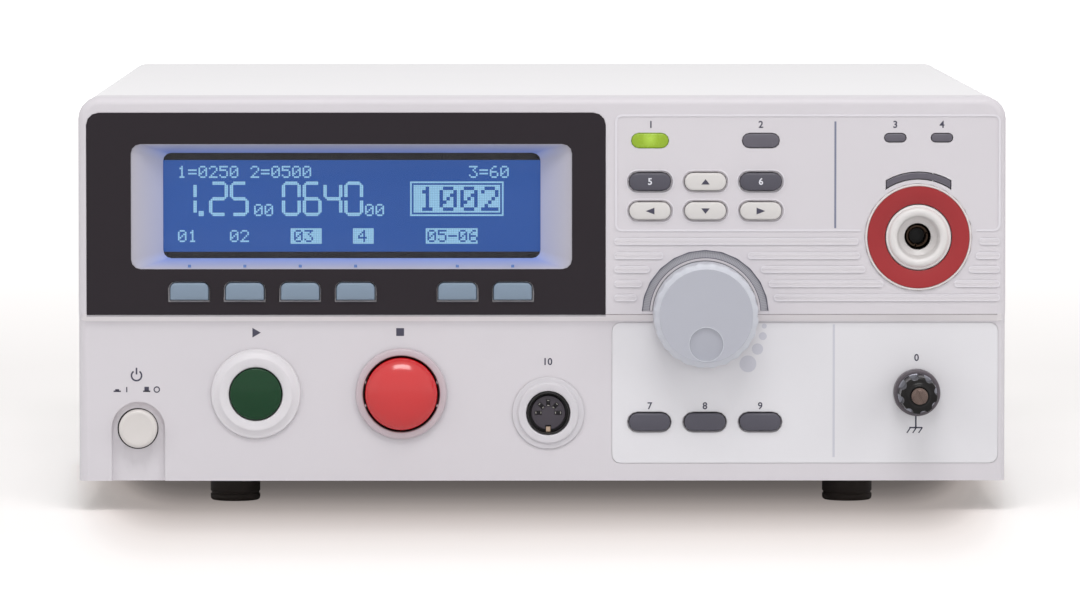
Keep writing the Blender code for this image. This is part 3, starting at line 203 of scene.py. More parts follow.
mesh.materials.append(sweep)

# Soft boxes: a bright one high in front, which lights the front and gives the buttons their
# shine, a large pair at the sides, and one overhead for the cover and its front edge.
soft_boxes = (
    ("high", (0.0, -1.5, 2.05), (0.0, 0.0, 0.1), (1.3, 0.75), 17.0),
    ("left", (-1.9, -1.3, 0.9), (0.0, -0.2, 0.08), (0.9, 1.4), 6.5),
    ("right", (1.9, -1.5, 0.8), (0.0, -0.2, 0.08), (0.9, 1.4), 8.5),
    ("above", (0.0, -0.5, 2.4), (0.0, 0.0, 0.1), (2.2, 1.0), 3.0),
)
for name, place, target, size, power in soft_boxes:
    lamp = bpy.data.lights.new("soft_box_" + name, "AREA")
    lamp.shape = "RECTANGLE"
    lamp.size = size[0]
    lamp.size_y = size[1]
    lamp.energy = power
    box = bpy.data.objects.new("soft_box_" + name, lamp)
    box.visible_glossy = name == "high"
    box.location = place
    box.rotation_euler = (Vector(target) - Vector(place)).to_track_quat("-Z", "Y").to_euler()
    bpy.context.scene.collection.objects.link(box)

# The front moulding is one shell of white plastic with a fine spark-eroded grain. It is
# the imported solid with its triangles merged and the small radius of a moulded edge, and it
# is paler where it faces down, in place of the light that comes up from the paper.


def screen(colour):
    """Linear values of a colour that is given in screen values from 0 to 255."""
    return tuple((value / 255) ** 2.2 for value in colour)


def drift(colour, spread):
    """Stops of a ramp that takes a screen colour a little down and up."""
    base = screen(colour)
    return [
        (0.3, [value * (1 - spread) for value in base]),
        (0.7, [value * (1 + spread) for value in base]),
    ]


def plastic(name, colour, roughness, grain=2600.0, depth=0.25, spread=0.012, **sockets):
    """A moulded plastic: a fine grain, a faint drift of its colour and uneven gloss."""
    made = bpy.data.materials.new(name)
    made.use_nodes = True
    tree = Socket(made.node_tree)
    shader = made.node_tree.nodes["Principled BSDF"]
    places = tree.node("ShaderNodeTexCoord", {}, pick=3)
    broad = tree.node("ShaderNodeTexNoise", {"Vector": places, "Scale": 14.0, "Detail": 3.0})
    fine = tree.node("ShaderNodeTexNoise", {"Vector": places, "Scale": grain, "Detail": 2.0})
    tint = tree.node("ShaderNodeValToRGB", {"Fac": broad}, stops=drift(colour, spread))
    gloss = (broad - 0.5) * 0.10 + (fine - 0.5) * 0.06 + roughness
    bump = tree.node("ShaderNodeBump", {"Height": fine, "Strength": depth, "Distance": 0.00004})
    tint.into(shader, "Base Color")
    gloss.into(shader, "Roughness")
    bump.into(shader, "Normal")
    for socket, value in sockets.items():
        shader.inputs[socket.replace("_", " ")].default_value = value
    return made


def tinted(material, share, colour):
    """Mixes a screen colour into a material's own, by a share that varies over the piece."""
    shader = material.node_tree.nodes["Principled BSDF"]
    own = Socket(material.node_tree, shader.inputs["Base Color"].links[0].from_socket)
    links = {0: share, 6: own, 7: (*screen(colour), 1)}
    mixed = own.node("ShaderNodeMix", links, pick=2, data_type="RGBA")
    mixed.into(shader, "Base Color")


def add_piece(name, bm, material, slot, body="case", stands_for=(), softened=0.0, smooth=35):
    """Makes a finished piece of a bmesh, on the body that it moves with."""
    bmesh.ops.remove_doubles(bm, verts=bm.verts[:], dist=1e-6)
    bmesh.ops.recalc_face_normals(bm, faces=bm.faces[:])
    mesh = bpy.data.meshes.new(name)
    bm.to_mesh(mesh)
    bm.free()
    mesh.shade_smooth()
    mesh.set_sharp_from_angle(angle=math.radians(smooth))
    mesh.materials.append(material)
    piece = bpy.data.objects.new(name, mesh)
    bpy.context.scene.collection.objects.link(piece)
    if softened:
        edges = piece.modifiers.new("softened edges", "BEVEL")
        edges.width = softened
        edges.segments = 2
        edges.limit_method = "ANGLE"
        edges.angle_limit = math.radians(smooth)
        edges.harden_normals = True
        even = piece.modifiers.new("even shading", "WEIGHTED_NORMAL")
        even.keep_sharp = True
    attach(piece, body)
    if stands_for:
        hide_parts(*stands_for)
    return piece


def from_solid(node, dissolve=True):
    """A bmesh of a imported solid, its loose triangles merged into whole faces."""
    bm = bmesh.new()
    bm.from_mesh(nodes[node].data)
    bmesh.ops.remove_doubles(bm, verts=bm.verts[:], dist=2e-6)
    if dissolve:
        bmesh.ops.dissolve_limit(
            bm, angle_limit=math.radians(0.6), verts=bm.verts[:], edges=bm.edges[:]
        )
    return bm


def joined(bm, part):
    """Adds one bmesh to another."""
    mesh = bpy.data.meshes.new("part")
    part.to_mesh(mesh)
    part.free()
    bm.from_mesh(mesh)
    bpy.data.meshes.remove(mesh)


white_plastic = plastic("white_moulding", (214, 209, 214), 0.42)
facing = Socket(white_plastic.node_tree).node("ShaderNodeNewGeometry", {}, pick=1)
tinted(white_plastic, facing.part(2) * -1.2, (244, 238, 240))
bm = from_solid("front_panel", dissolve=False)
for vert in bm.verts:
    vert.co.y = max(vert.co.y, front_y)
bmesh.ops.remove_doubles(bm, verts=bm.verts[:], dist=2e-6)
bmesh.ops.dissolve_degenerate(bm, dist=2e-6, edges=bm.edges[:])
bmesh.ops.dissolve_limit(bm, angle_limit=math.radians(0.6), verts=bm.verts[:], edges=bm.edges[:])
add_piece(
    "front_moulding", bm, white_plastic, "white_moulding",
    stands_for=["front_panel"], softened=0.0003, smooth=32,
)

# Thin bars stand on the upper right of the moulding, broken off round the knob and the
# output, with a raised bead over them. The bead and the rims of the bars are a paler
# plastic: painted highlights, for the light they catch as fine pale lines.
rib_height = 0.0025
rib_spans = (
    (0.0978, ((0.0256, 0.1126), (0.1554, 0.1629))),
    (0.0927, ((0.0256, 0.0431), (0.0731, 0.1131), (0.1542, 0.1629))),
    (0.0878, ((0.0256, 0.0383), (0.0777, 0.1150), (0.1517, 0.1629))),
    (0.0827, ((0.0256, 0.0355), (0.0805, 0.1215), (0.1466, 0.1629))),
    (0.0777, ((0.0256, 0.0337), (0.0824, 0.1629))),
)


def add_block(bm, size, centre):
    """Adds a plain block, and returns its corners."""
    verts = bmesh.ops.create_cube(bm, size=1.0)["verts"]
    bmesh.ops.scale(bm, vec=size, verts=verts)
    bmesh.ops.translate(bm, vec=centre, verts=verts)
    return verts


def add_tablet(bm, low, high, corner, rim=0.0, steps=5, rim_steps=2):
    """Adds a block whose corners are rounded in the XZ plane and whose front rim is rounded."""
    low = Vector(low)
    high = Vector(high)
    older = set(bm.verts)
    verts = add_block(bm, high - low, (low + high) / 2)
    edges = {edge for vert in verts for edge in vert.link_edges}
    across = [edge for edge in edges if abs(edge.verts[0].co.y - edge.verts[1].co.y) > 1e-7]
    bmesh.ops.bevel(
        bm, geom=across, offset=corner, segments=steps, profile=0.5, affect="EDGES", material=-1,
    )
    fresh = [vert for vert in bm.verts if vert not in older]
    bmesh.ops.remove_doubles(bm, verts=fresh, dist=1e-6)
    fresh = {vert for vert in bm.verts if vert not in older}
    if rim:
        edges = {edge for vert in fresh for edge in vert.link_edges}
        front = [edge for edge in edges if all(vert.co.y < low.y + 1e-7 for vert in edge.verts)]
        bmesh.ops.bevel(
            bm, geom=front, offset=rim, segments=rim_steps, profile=0.5, affect="EDGES", material=-1,
        )


bm = bmesh.new()
for top, spans in rib_spans:
    for left, right in spans:
        low = (left, front_y - rib_rise, top - rib_height)
        high = (right, front_y + 0.0002, top)
        add_tablet(bm, low, high, rib_height / 2 - 1e-5, rim=0.00022)
add_piece("moulded_bars", bm, white_plastic, "white_moulding")


def outline(left, low, right, high, corner, width, rise, sunk=0.0001):
    """A bmesh of a raised line round a rectangle of the front whose corners are rounded."""
    bm = bmesh.new()
    bmesh.ops.create_grid(bm, x_segments=1, y_segments=1, size=0.5)
    bmesh.ops.scale(bm, vec=(right - left, high - low, 1), verts=bm.verts[:])
    upright = Matrix.Translation(((left + right) / 2, front_y + sunk, (low + high) / 2))
    upright = upright @ Matrix.Rotation(math.pi / 2, 4, "X")
    bmesh.ops.transform(bm, matrix=upright, verts=bm.verts[:])
    bmesh.ops.bevel(
        bm, geom=bm.verts[:], offset=corner, segments=6, profile=0.5, affect="VERTICES", material=-1,
    )
    line = set(bmesh.ops.inset_region(
        bm, faces=bm.faces[:], thickness=width, use_even_offset=True, use_boundary=True)["faces"])
    bmesh.ops.delete(bm, geom=[face for face in bm.faces if face not in line], context="FACES")
    raised = bmesh.ops.extrude_face_region(bm, geom=bm.faces[:])["geom"]
    raised = [item for item in raised if isinstance(item, bmesh.types.BMVert)]
    bmesh.ops.translate(bm, vec=(0, -rise - sunk, 0), verts=raised)
    return bm


# Painted highlight: the bead and the bar rims take a paler plastic than the moulding.
painted_highlight_plastic = plastic("painted_highlight_rim", (225, 221, 227), 0.34)
bead_gap = (0.1132, 0.1544)
bm = outline(0.0259, 0.1001, 0.1630, 0.1417, 0.0025, 0.0007, 0.0003)
for x in bead_gap:
    geom = bm.verts[:] + bm.edges[:] + bm.faces[:]
    bmesh.ops.bisect_plane(bm, geom=geom, plane_co=(x, 0, 0), plane_no=(1, 0, 0))
gone = []
for face in bm.faces:
    centre = face.calc_center_median()
    if bead_gap[0] < centre.x < bead_gap[1] and centre.z < 0.12:
        gone.append(face)
bmesh.ops.delete(bm, geom=gone, context="FACES")
bmesh.ops.holes_fill(bm, edges=[edge for edge in bm.edges if edge.is_boundary], sides=0)
rib_end = rib_height / 2 - 1e-5
for top, spans in rib_spans:
    for left, right in spans:
        joined(bm, outline(left, top - rib_height, right, top, rib_end, 0.00038, rib_rise + 0.00003))
add_piece("painted_highlight_rims", bm, painted_highlight_plastic, "white_moulding", softened=0.00010)

# Two printed films lie in shallow pockets of the moulding: a smoked one round the display
# and a white one round the sockets. They are die-cut polycarbonate with a satin face.
dark_film = plastic("smoked_film", (42, 36, 41), 0.36, grain=5200.0, depth=0.12)
dark_film.node_tree.nodes["Principled BSDF"].inputs["Specular IOR Level"].default_value = 0.25
white_film = plastic("white_film", (226, 224, 228), 0.40, grain=5200.0, depth=0.10, spread=0.006)
film_growth = 0.0004
for node, name, material, slot in (
    ("display_overlay", "smoked_display_film", dark_film, "dark_film"),
    ("lower_overlay", "white_socket_film", white_film, "pale_film"),
):
    bm = from_solid(node)
    low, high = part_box(node)
    size = high - low
    middle = (low + high) / 2
    growth = (1 + film_growth / size.x, 1, 1 + film_growth / size.z)
    bmesh.ops.scale(bm, vec=growth, space=Matrix.Translation(-middle), verts=bm.verts[:])
    add_piece(name, bm, material, slot, stands_for=[node], softened=0.00008, smooth=32)

# The display sits at the bottom of a tapered frame of pale grey plastic. The grey is mixed
# bluer towards the display, a painted light from it. The picture is made of square dots
# that glow on a blue ground, between two black borders of the glass.
recess_low = Vector((-0.14605, 0.0, 0.0868))
recess_high = Vector((0.0104, 0.0, 0.13105))
side_taper = 0.0111
end_taper = 0.0034
top_border = 0.0032
bottom_border = 0.0028
frame_grey = plastic("frame_grey", (190, 186, 194), 0.42)
tree = Socket(frame_grey.node_tree)
places = tree.node("ShaderNodeTexCoord", {}, pick=3)
facing = tree.node("ShaderNodeNewGeometry", {}, pick=1)
upright = tree.maths("ABSOLUTE", facing.part(2))
glass_depth = 0.0088
# Painted light of the display: the blue share grows towards the glass and on the top and bottom walls.
share = (places.part(1) - front_y) / glass_depth * (upright * 0.60 + 0.30)
tinted(frame_grey, share, (126, 156, 236))
add_piece(
    "display_surround", from_solid("display_frame"), frame_grey, "grey_moulding",
    stands_for=["display_frame"], softened=0.00025, smooth=32,
)

window = bpy.data.materials.new("window_glass")
window.use_nodes = True
shader = window.node_tree.nodes["Principled BSDF"]
shader.inputs["Base Color"].default_value = (0.96, 0.98, 1.0, 1.0)
shader.inputs["Roughness"].default_value = 0.02
shader.inputs["Transmission Weight"].default_value = 1.0
shader.inputs["IOR"].default_value = 1.2
window_low, window_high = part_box("display_glass")
bm = bmesh.new()
add_tablet(bm, window_low, window_high, 0.0005, rim=0.0002)
add_piece("display_window", bm, window, "display_window", stands_for=["display_glass"])


def glowing(name, colour, strength, spread, scale, roughness=0.5):
    """A lit face: its glow drifts a little over the surface."""
    made = bpy.data.materials.new(name)
    made.use_nodes = True
    tree = Socket(made.node_tree)
    shader = made.node_tree.nodes["Principled BSDF"]
    places = tree.node("ShaderNodeTexCoord", {}, pick=3)
    cloud = tree.node("ShaderNodeTexNoise", {"Vector": places, "Scale": scale, "Detail": 1.0})
    glow = tree.node("ShaderNodeValToRGB", {"Fac": cloud}, stops=drift(colour, spread))
    glow.into(shader, "Emission Color")
    dim = tree.node("ShaderNodeMix", {0: 0.75, 6: glow, 7: (0, 0, 0, 1)}, pick=2, data_type="RGBA")
    dim.into(shader, "Base Color")
    shader.inputs["Emission Strength"].default_value = strength
    shader.inputs["Roughness"].default_value = roughness
    shader.inputs["Specular IOR Level"].default_value = 0.1
    return made


screen_y = window_high.y + 0.00022
picture_low = recess_low + Vector((side_taper - 0.0006, 0, end_taper - 0.0006 + bottom_border))
picture_high = recess_high - Vector((side_taper - 0.0006, 0, end_taper - 0.0006 + top_border))
blue_ground = glowing("blue_backlight", (54, 86, 152), 0.86, 0.03, 9.0)
border_black = plastic("border_black", (30, 22, 26), 0.5)
bm = bmesh.new()
low = (picture_low.x, screen_y, picture_low.z)
add_tablet(bm, low, (picture_high.x, screen_y + 0.00006, picture_high.z), 0.0002)
add_piece("display_ground", bm, blue_ground, "display_window")
bm = bmesh.new()
for low_z, high_z in (
    (picture_low.z - bottom_border - 0.001, picture_low.z),
    (picture_high.z, picture_high.z + top_border + 0.001),
):
    low = (picture_low.x - 0.001, screen_y - 0.00004, low_z)
    add_tablet(bm, low, (picture_high.x + 0.001, screen_y + 0.00004, high_z), 0.0003)
add_piece("display_borders", bm, border_black, "black_plastic")

dot_pitch = 0.000618
dot_gap = 0.00003
digit_rows = {
    "0": (14, 17, 19, 21, 25, 17, 14), "1": (4, 12, 4, 4, 4, 4, 14), "2": (14, 17, 1, 2, 4, 8, 31),
    "3": (31, 2, 4, 2, 1, 17, 14), "4": (2, 6, 10, 18, 31, 2, 2), "5": (31, 16, 30, 1, 1, 17, 14),
    "6": (6, 8, 16, 30, 17, 17, 14), "7": (31, 1, 2, 4, 8, 8, 8), "8": (14, 17, 17, 14, 17, 17, 14),
    "9": (14, 17, 17, 15, 1, 2, 12), ":": (0, 12, 12, 0, 12, 12, 0), "-": (0, 0, 0, 31, 0, 0, 0),
    "=": (0, 0, 31, 0, 31, 0, 0), ".": (0, 0, 0, 0, 0, 12, 12), " ": (0, 0, 0, 0, 0, 0, 0),
}
bar_parts = {
    "a": (2, 0, 9, 2), "g": (2, 9, 9, 11), "d": (2, 18, 9, 20),
    "f": (0, 2, 2, 9), "b": (9, 2, 11, 9), "e": (0, 11, 2, 18), "c": (9, 11, 11, 18),
}
bar_digits = {
    "0": "abcdef", "1": "bc", "2": "abged", "3": "abgcd", "4": "fgbc", "5": "afgcd",
    "6": "afgedc", "7": "abc", "8": "abcdefg", "9": "abcdfg",
}
bar_corners = {
    "af": (1, 1), "ab": (9, 1), "ed": (1, 18), "cd": (9, 18), "fg": (1, 9), "bg": (9, 9),
    "ge": (1, 10), "gc": (9, 10),
}
dots = set()


def switch_dots(places):
    """Lights the dots of a set that are dark, and darkens those that are lit."""
    dots.symmetric_difference_update(places)


def patch(left, top, right, bottom):
    """The places of a filled block of dots."""
    return {(column, row) for column in range(left, right) for row in range(top, bottom)}


def small_number(text, column, row, scale=1):
    """Switches the dots of a line of digits that are five dots wide and seven high."""
    places = set()
    for index, letter in enumerate(text):
        for down, bits in enumerate(digit_rows[letter]):
            for across in range(5):
                if bits >> (4 - across) & 1:
                    left = column + scale * (6 * index + across)
                    top = row + scale * down
                    places |= patch(left, top, left + scale, top + scale)
    switch_dots(places)


def large_number(text, column, row):
    """Switches the dots of large digits, made of bars two dots thick."""
    places = set()
    left = column - 12
    for letter in text:
        left += 12
        if letter == ".":
            places |= patch(left, row + 17, left + 3, row + 20)
            left -= 6
            continue
        bars = bar_digits[letter]
        for bar in bars:
            start, top, end, bottom = bar_parts[bar]
            places |= patch(left + start, row + top, left + end, row + bottom)
        for pair, (across, down) in bar_corners.items():
            if all(bar in bars for bar in pair):
                places.add((left + across, row + down))
    switch_dots(places)


small_number("1=0250 2=0500", 6, 3)
small_number("3=60", 174, 3)
large_number("1.25", 6, 12)
small_number("00", 50, 25)
large_number("0640", 66, 12)
small_number("00", 114, 25)
switch_dots(patch(140, 12, 194, 32) - patch(141, 13, 193, 31))
switch_dots(patch(142, 14, 192, 30))
small_number("1002", 145, 15, scale=2)
small_number("01", 6, 40)
small_number("02", 36, 40)
switch_dots(patch(71, 39, 89, 48))
small_number("03", 73, 40)
switch_dots(patch(107, 39, 119, 48))
small_number("4", 110, 40)
switch_dots(patch(149, 39, 179, 48))
small_number("05-06", 150, 40)
columns = 1 + max(column for column, row in dots)
rows = 1 + max(row for column, row in dots)
first_dot = Vector((picture_low.x + 0.0019, screen_y - 0.00003, picture_high.z - 0.0002))
dot_light = glowing("lit_dots", (156, 202, 228), 0.82, 0.02, 60.0)
bm = bmesh.new()
bmesh.ops.create_grid(bm, x_segments=columns, y_segments=rows, size=0.5)
size = (columns * dot_pitch, rows * dot_pitch, 1)
bmesh.ops.scale(bm, vec=size, verts=bm.verts[:])
bmesh.ops.translate(bm, vec=(size[0] / 2, -size[1] / 2, 0), verts=bm.verts[:])
dark = []
for face in bm.faces:
    centre = face.calc_center_median()
    if (int(centre.x / dot_pitch), int(-centre.y / dot_pitch)) not in dots:
        dark.append(face)
bmesh.ops.delete(bm, geom=dark, context="FACES")
lit = set(bm.faces)
bmesh.ops.inset_individual(bm, faces=list(lit), thickness=dot_gap, use_even_offset=True)
bmesh.ops.delete(bm, geom=[face for face in bm.faces if face not in lit], context="FACES")
raised = bmesh.ops.extrude_discrete_faces(bm, faces=bm.faces[:])["faces"]
bmesh.ops.translate(bm, vec=(0, 0, 0.00003), verts=[vert for face in raised for vert in face.verts])
upright = Matrix.Translation(first_dot) @ Matrix.Rotation(math.pi / 2, 4, "X")
bmesh.ops.transform(bm, matrix=upright, verts=bm.verts[:])
add_piece("display_dots", bm, dot_light, "display_window")

# Fifteen moulded keys stand a little proud of the panel, each in its own opening, with a
# crowned face and a soft rim. Six grey-blue ones under the display are flat at the bottom.
key_proud = 0.0016
key_back = -0.0033
key_pitch = 0.0197
soft_key_z = 0.0788
lower_half_z = 0.06
soft_key_size = (0.0136, 0.0061)
key_size = (0.0147, 0.0062)
key_places = {
    "key_escape": (0.0383, 0.1178), "key_up": (0.0580, 0.1178), "key_field": (0.0777, 0.1178),
    "key_left": (0.0383, 0.1074), "key_down": (0.0580, 0.1074), "key_right": (0.0777, 0.1074),
    "key_edit": (0.0383, 0.0320), "key_save": (0.0580, 0.0320), "key_utility": (0.0777, 0.0320),
}
soft_blue = plastic("soft_key_blue", (126, 142, 160), 0.40, grain=4200.0)
dark_grey = plastic("key_dark_grey", (80, 78, 88), 0.40, grain=4200.0)
warm_white = plastic("key_white", (214, 210, 208), 0.40, grain=4200.0)
key_finish = {"soft_key": soft_blue, "dark_key": dark_grey, "pale_key": warm_white}


def crowned_key(size, corner, low_corner, proud, back, rim=0.0007):
    """A bmesh of a key facing local +Z: rounded corners, a soft rim and a crowned face."""
    bm = bmesh.new()
    add_block(bm, (size[0], size[1], proud - rim - back), (0, 0, (proud - rim + back) / 2))
    for radius, upper in ((corner, True), (low_corner, False)):
        upright = []
        for edge in bm.edges:
            low, high = (vert.co for vert in edge.verts)
            if abs(low.z - high.z) > 1e-6 and (low.y > 0) == upper:
                upright.append(edge)
        bmesh.ops.bevel(
            bm, geom=upright, offset=radius, segments=8, profile=0.5, affect="EDGES", material=-1,
        )
    bmesh.ops.remove_doubles(bm, verts=bm.verts[:], dist=1e-6)
    face = max(bm.faces, key=lambda item: item.calc_center_median().z)
    steps = [(rim * (1 - math.cos(turn)), rim * math.sin(turn)) for turn in (0.35, 0.70, 1.05, 1.35)]
    steps += [(1.6 * rim, 1.09 * rim), (2.4 * rim, 1.20 * rim), (3.3 * rim, 1.27 * rim)]
    drawn_in, raised = 0.0, 0.0
    for inset, height in steps:
        face = bmesh.ops.extrude_discrete_faces(bm, faces=[face])["faces"][0]
        shrink = [(side - 2 * inset) / (side - 2 * drawn_in) for side in size]
        bmesh.ops.scale(bm, vec=(shrink[0], shrink[1], 1), verts=face.verts[:])
        bmesh.ops.translate(bm, vec=(0, 0, height - raised), verts=face.verts[:])
        drawn_in, raised = inset, height
    return bm


def on_front(bm, x, y, z):
    """Turns a bmesh that faces local +Z to the front, and moves it to its place."""
    turn = Matrix.Translation((x, y, z)) @ Matrix.Rotation(math.pi / 2, 4, "X")
    bmesh.ops.transform(bm, matrix=turn, verts=bm.verts[:])


def stem_of(node, bm, x, z, y):
    """Adds a packed key's flange and stem, which lie behind the panel, to a bmesh."""
    low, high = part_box(node)
    flange = 0.0010
    stem = 0.003
    start = y - key_back + flange
    add_block(bm, (high.x - low.x, flange, high.z - low.z), (x, start - flange / 2, z))
    add_block(bm, (stem, high.y - start, stem), (x, (high.y + start) / 2, z))


soft_key_x = [-0.1255 + key_pitch * number for number in range(4)]
soft_key_x += [-0.0302 + key_pitch * number for number in range(2)]
for number, x in enumerate(soft_key_x, 1):
    node = "soft_key_" + str(number)
    bm = crowned_key(soft_key_size, 0.0021, 0.0004, key_proud, key_back)
    on_front(bm, x, front_y, soft_key_z)
    stem_of(node, bm, x, soft_key_z, front_y)
    add_piece("cap_" + node, bm, soft_blue, "soft_key", node, [node])
for node, (x, z) in key_places.items():
    level = lower_y if z < lower_half_z else front_y
    bm = crowned_key(key_size, 0.00305, 0.00305, key_proud, key_back)
    on_front(bm, x, level, z)
    stem_of(node, bm, x, z, level)
    slot = "pale_key" if node in ("key_up", "key_left", "key_down", "key_right") else "dark_key"
    add_piece("cap_" + node, bm, key_finish[slot], slot, node, [node])

# Raised rings round the upper keys, in the paler plastic: a painted highlight on them.
bm = bmesh.new()
for x, z in key_places.values():
    if z > lower_half_z:
        half = (key_size[0] / 2 + 0.0012, key_size[1] / 2 + 0.0012)
        edges = (x - half[0], z - half[1], x + half[0], z + half[1])
        joined(bm, outline(*edges, 0.0042, 0.00045, 0.00016))
add_piece("key_surround_highlights", bm, painted_highlight_plastic, "white_moulding", softened=0.00012)

# The four arrows are printed on the white keys, and plain numbers on the dark ones.
print_ink = plastic("grey_ink", (70, 68, 84), 0.55, grain=9000.0, depth=0.05)
pale_ink = plastic("pale_ink", (222, 222, 230), 0.55, grain=9000.0, depth=0.05)
ink_height = 0.00004
arrows = {
    "key_up": (0.0, 0.0030, 0.0019), "key_left": (90.0, 0.0031, 0.0024),
    "key_down": (180.0, 0.0030, 0.0019), "key_right": (270.0, 0.0031, 0.0024),
}
for node, (degrees, width, height) in arrows.items():
    x, z = key_places[node]
    bm = bmesh.new()
    bmesh.ops.create_cone(bm, cap_ends=True, segments=3, radius1=1, radius2=1, depth=0.0003)
    turn = Matrix.Rotation(math.radians(degrees), 3, "Z")
    bmesh.ops.rotate(bm, cent=(0, 0, 0), matrix=turn, verts=bm.verts[:])
    for axis, extent in enumerate((width, height)):
        spots = [vert.co[axis] for vert in bm.verts]
        middle = (max(spots) + min(spots)) / 2
        for vert in bm.verts:
            vert.co[axis] = (vert.co[axis] - middle) * extent / (max(spots) - min(spots))
    lift = key_proud + 0.0002 + ink_height - 0.00015
    bmesh.ops.translate(bm, vec=(0, 0, lift), verts=bm.verts[:])
    on_front(bm, x, front_y, z)
    add_piece("arrow_" + node, bm, print_ink, "dark_key", node)

# The knob is a turned-looking disc of grey plastic with shallow scallops and one round
# dimple for a fingertip. Its paler rim is a painted highlight, and the dimple's darker lower
# side a painted shade. It is pushed on to the flatted shaft of its encoder.
knob_place = (0.058, front_y, 0.0708)
knob_front = 0.0148
knob_rim = 0.0166
scallops = 24
scallop_depth = 0.00020
dimple_drop = 0.0101
dimple_radius = 0.0059


def lathe(profile, steps=96):
    """A bmesh turned round local Z from a profile of (radius, height) down its outer side."""
    bm = bmesh.new()
    verts = [bm.verts.new((radius, 0, height)) for radius, height in profile]
    edges = [bm.edges.new(pair) for pair in zip(verts, verts[1:])]
    bmesh.ops.spin(
        bm, geom=verts + edges, cent=(0, 0, 0), axis=(0, 0, 1), dvec=(0, 0, 0),
        angle=2 * math.pi, steps=steps, use_merge=True, use_duplicate=False,
    )
    bmesh.ops.remove_doubles(bm, verts=bm.verts[:], dist=1e-6)
    bmesh.ops.recalc_face_normals(bm, faces=bm.faces[:])
    return bm


def add_turned(name, profile, place, material, slot, steps=96, **finish):
    """Turns a profile, moves it to its place on the front and makes a finished piece of it."""
    bm = lathe(profile, steps=steps)
    on_front(bm, *place)
    add_piece(name, bm, material, slot, **finish)


def arc(radius, height, size, start, end, steps=5):
    """Points of a profile on an arc round (radius, height), from start to end in degrees."""
    turns = [math.radians(start + (end - start) * step / steps) for step in range(steps + 1)]
    return [(radius + size * math.cos(turn), height + size * math.sin(turn)) for turn in turns]


def carved(bm, tool, operation="DIFFERENCE"):
    """A bmesh after another one is cut from it, or joined on to it."""
    shapes = []
    for number, shape in enumerate((bm, tool)):
        mesh = bpy.data.meshes.new("shape")
        shape.to_mesh(mesh)
        shape.free()
        shapes.append(bpy.data.objects.new("shape_" + str(number), mesh))
        bpy.context.scene.collection.objects.link(shapes[-1])
    cut = shapes[0].modifiers.new("cut", "BOOLEAN")
    cut.operation = operation
    cut.solver = "EXACT"
    cut.object = shapes[1]
    result = bmesh.new()
    result.from_object(shapes[0], bpy.context.evaluated_depsgraph_get())
    for shape in shapes:
        bpy.data.objects.remove(shape)
    return result


knob_grey = plastic("knob_grey", (178, 179, 189), 0.38, grain=4200.0, Coat_Weight=0.15)
tree = Socket(knob_grey.node_tree)
places = tree.node("ShaderNodeTexCoord", {}, pick=3)
flat = tree.node("ShaderNodeVectorMath", {0: places, 1: (1, 0, 1)}, operation="MULTIPLY")
axis_foot = (knob_place[0], 0, knob_place[2])
reach = tree.node("ShaderNodeVectorMath", {0: flat, 1: axis_foot}, pick=1, operation="DISTANCE")
# Painted highlight: the rim is mixed paler.
tinted(knob_grey, (reach > knob_rim - 0.00005) * 0.50, (220, 222, 230))
# Painted shade: the dimple is mixed darker towards its lower side.
dish_foot = (knob_place[0], 0, knob_place[2] - dimple_drop)
near = tree.node("ShaderNodeVectorMath", {0: flat, 1: dish_foot}, pick=1, operation="DISTANCE")
below = dish_foot[2] + dimple_radius - places.part(2)
tinted(knob_grey, (near < dimple_radius) * below * 38.0, (140, 142, 154))
profile = [(0, knob_front), (0.0163, knob_front), (knob_rim, knob_front - 0.00012)]
profile += [(0.0170, knob_front - 0.0007), *arc(0.0172, knob_front - 0.0025, 0.0015, 48, 0, 5)]
bm = lathe([*profile, (0.0187, 0.0016), (0.0183, 0.0009), (0, 0.0009)], steps=192)
for vert in bm.verts:
    reach = math.hypot(vert.co.x, vert.co.y)
    if reach > knob_rim and vert.co.z > 0.003:
        angle = math.atan2(vert.co.y, vert.co.x)
        dip = scallop_depth * (1 + math.cos(scallops * angle)) * min(1.0, (reach - knob_rim) / 0.0016)
        vert.co.xy *= (reach - dip) / reach
profile = [(0, -0.0013), (0.0030, -0.0012), (0.0050, -0.0009), (0.0058, -0.0005)]
dish = lathe([*profile, (0.0060, 0.001), (0, 0.001)])
bmesh.ops.translate(dish, vec=(0, -dimple_drop, knob_front), verts=dish.verts[:])
bm = carved(bm, dish)
on_front(bm, *knob_place)
add_piece("knob_disc", bm, knob_grey, "knob_grey", "knob", ["knob"], softened=0.00014, smooth=30)
# The dimple's raised lip is a paler grey, a painted highlight.
lip_place = (knob_place[0], front_y - knob_front, knob_place[2] - dimple_drop)
lip_highlight_grey = plastic("lip_highlight_grey", (198, 200, 208), 0.35)
profile = arc(0.0061, -0.00003, 0.00014, 0, 180, 6)
add_turned("dimple_lip", profile, lip_place, lip_highlight_grey, "knob_grey", steps=64, body="knob")

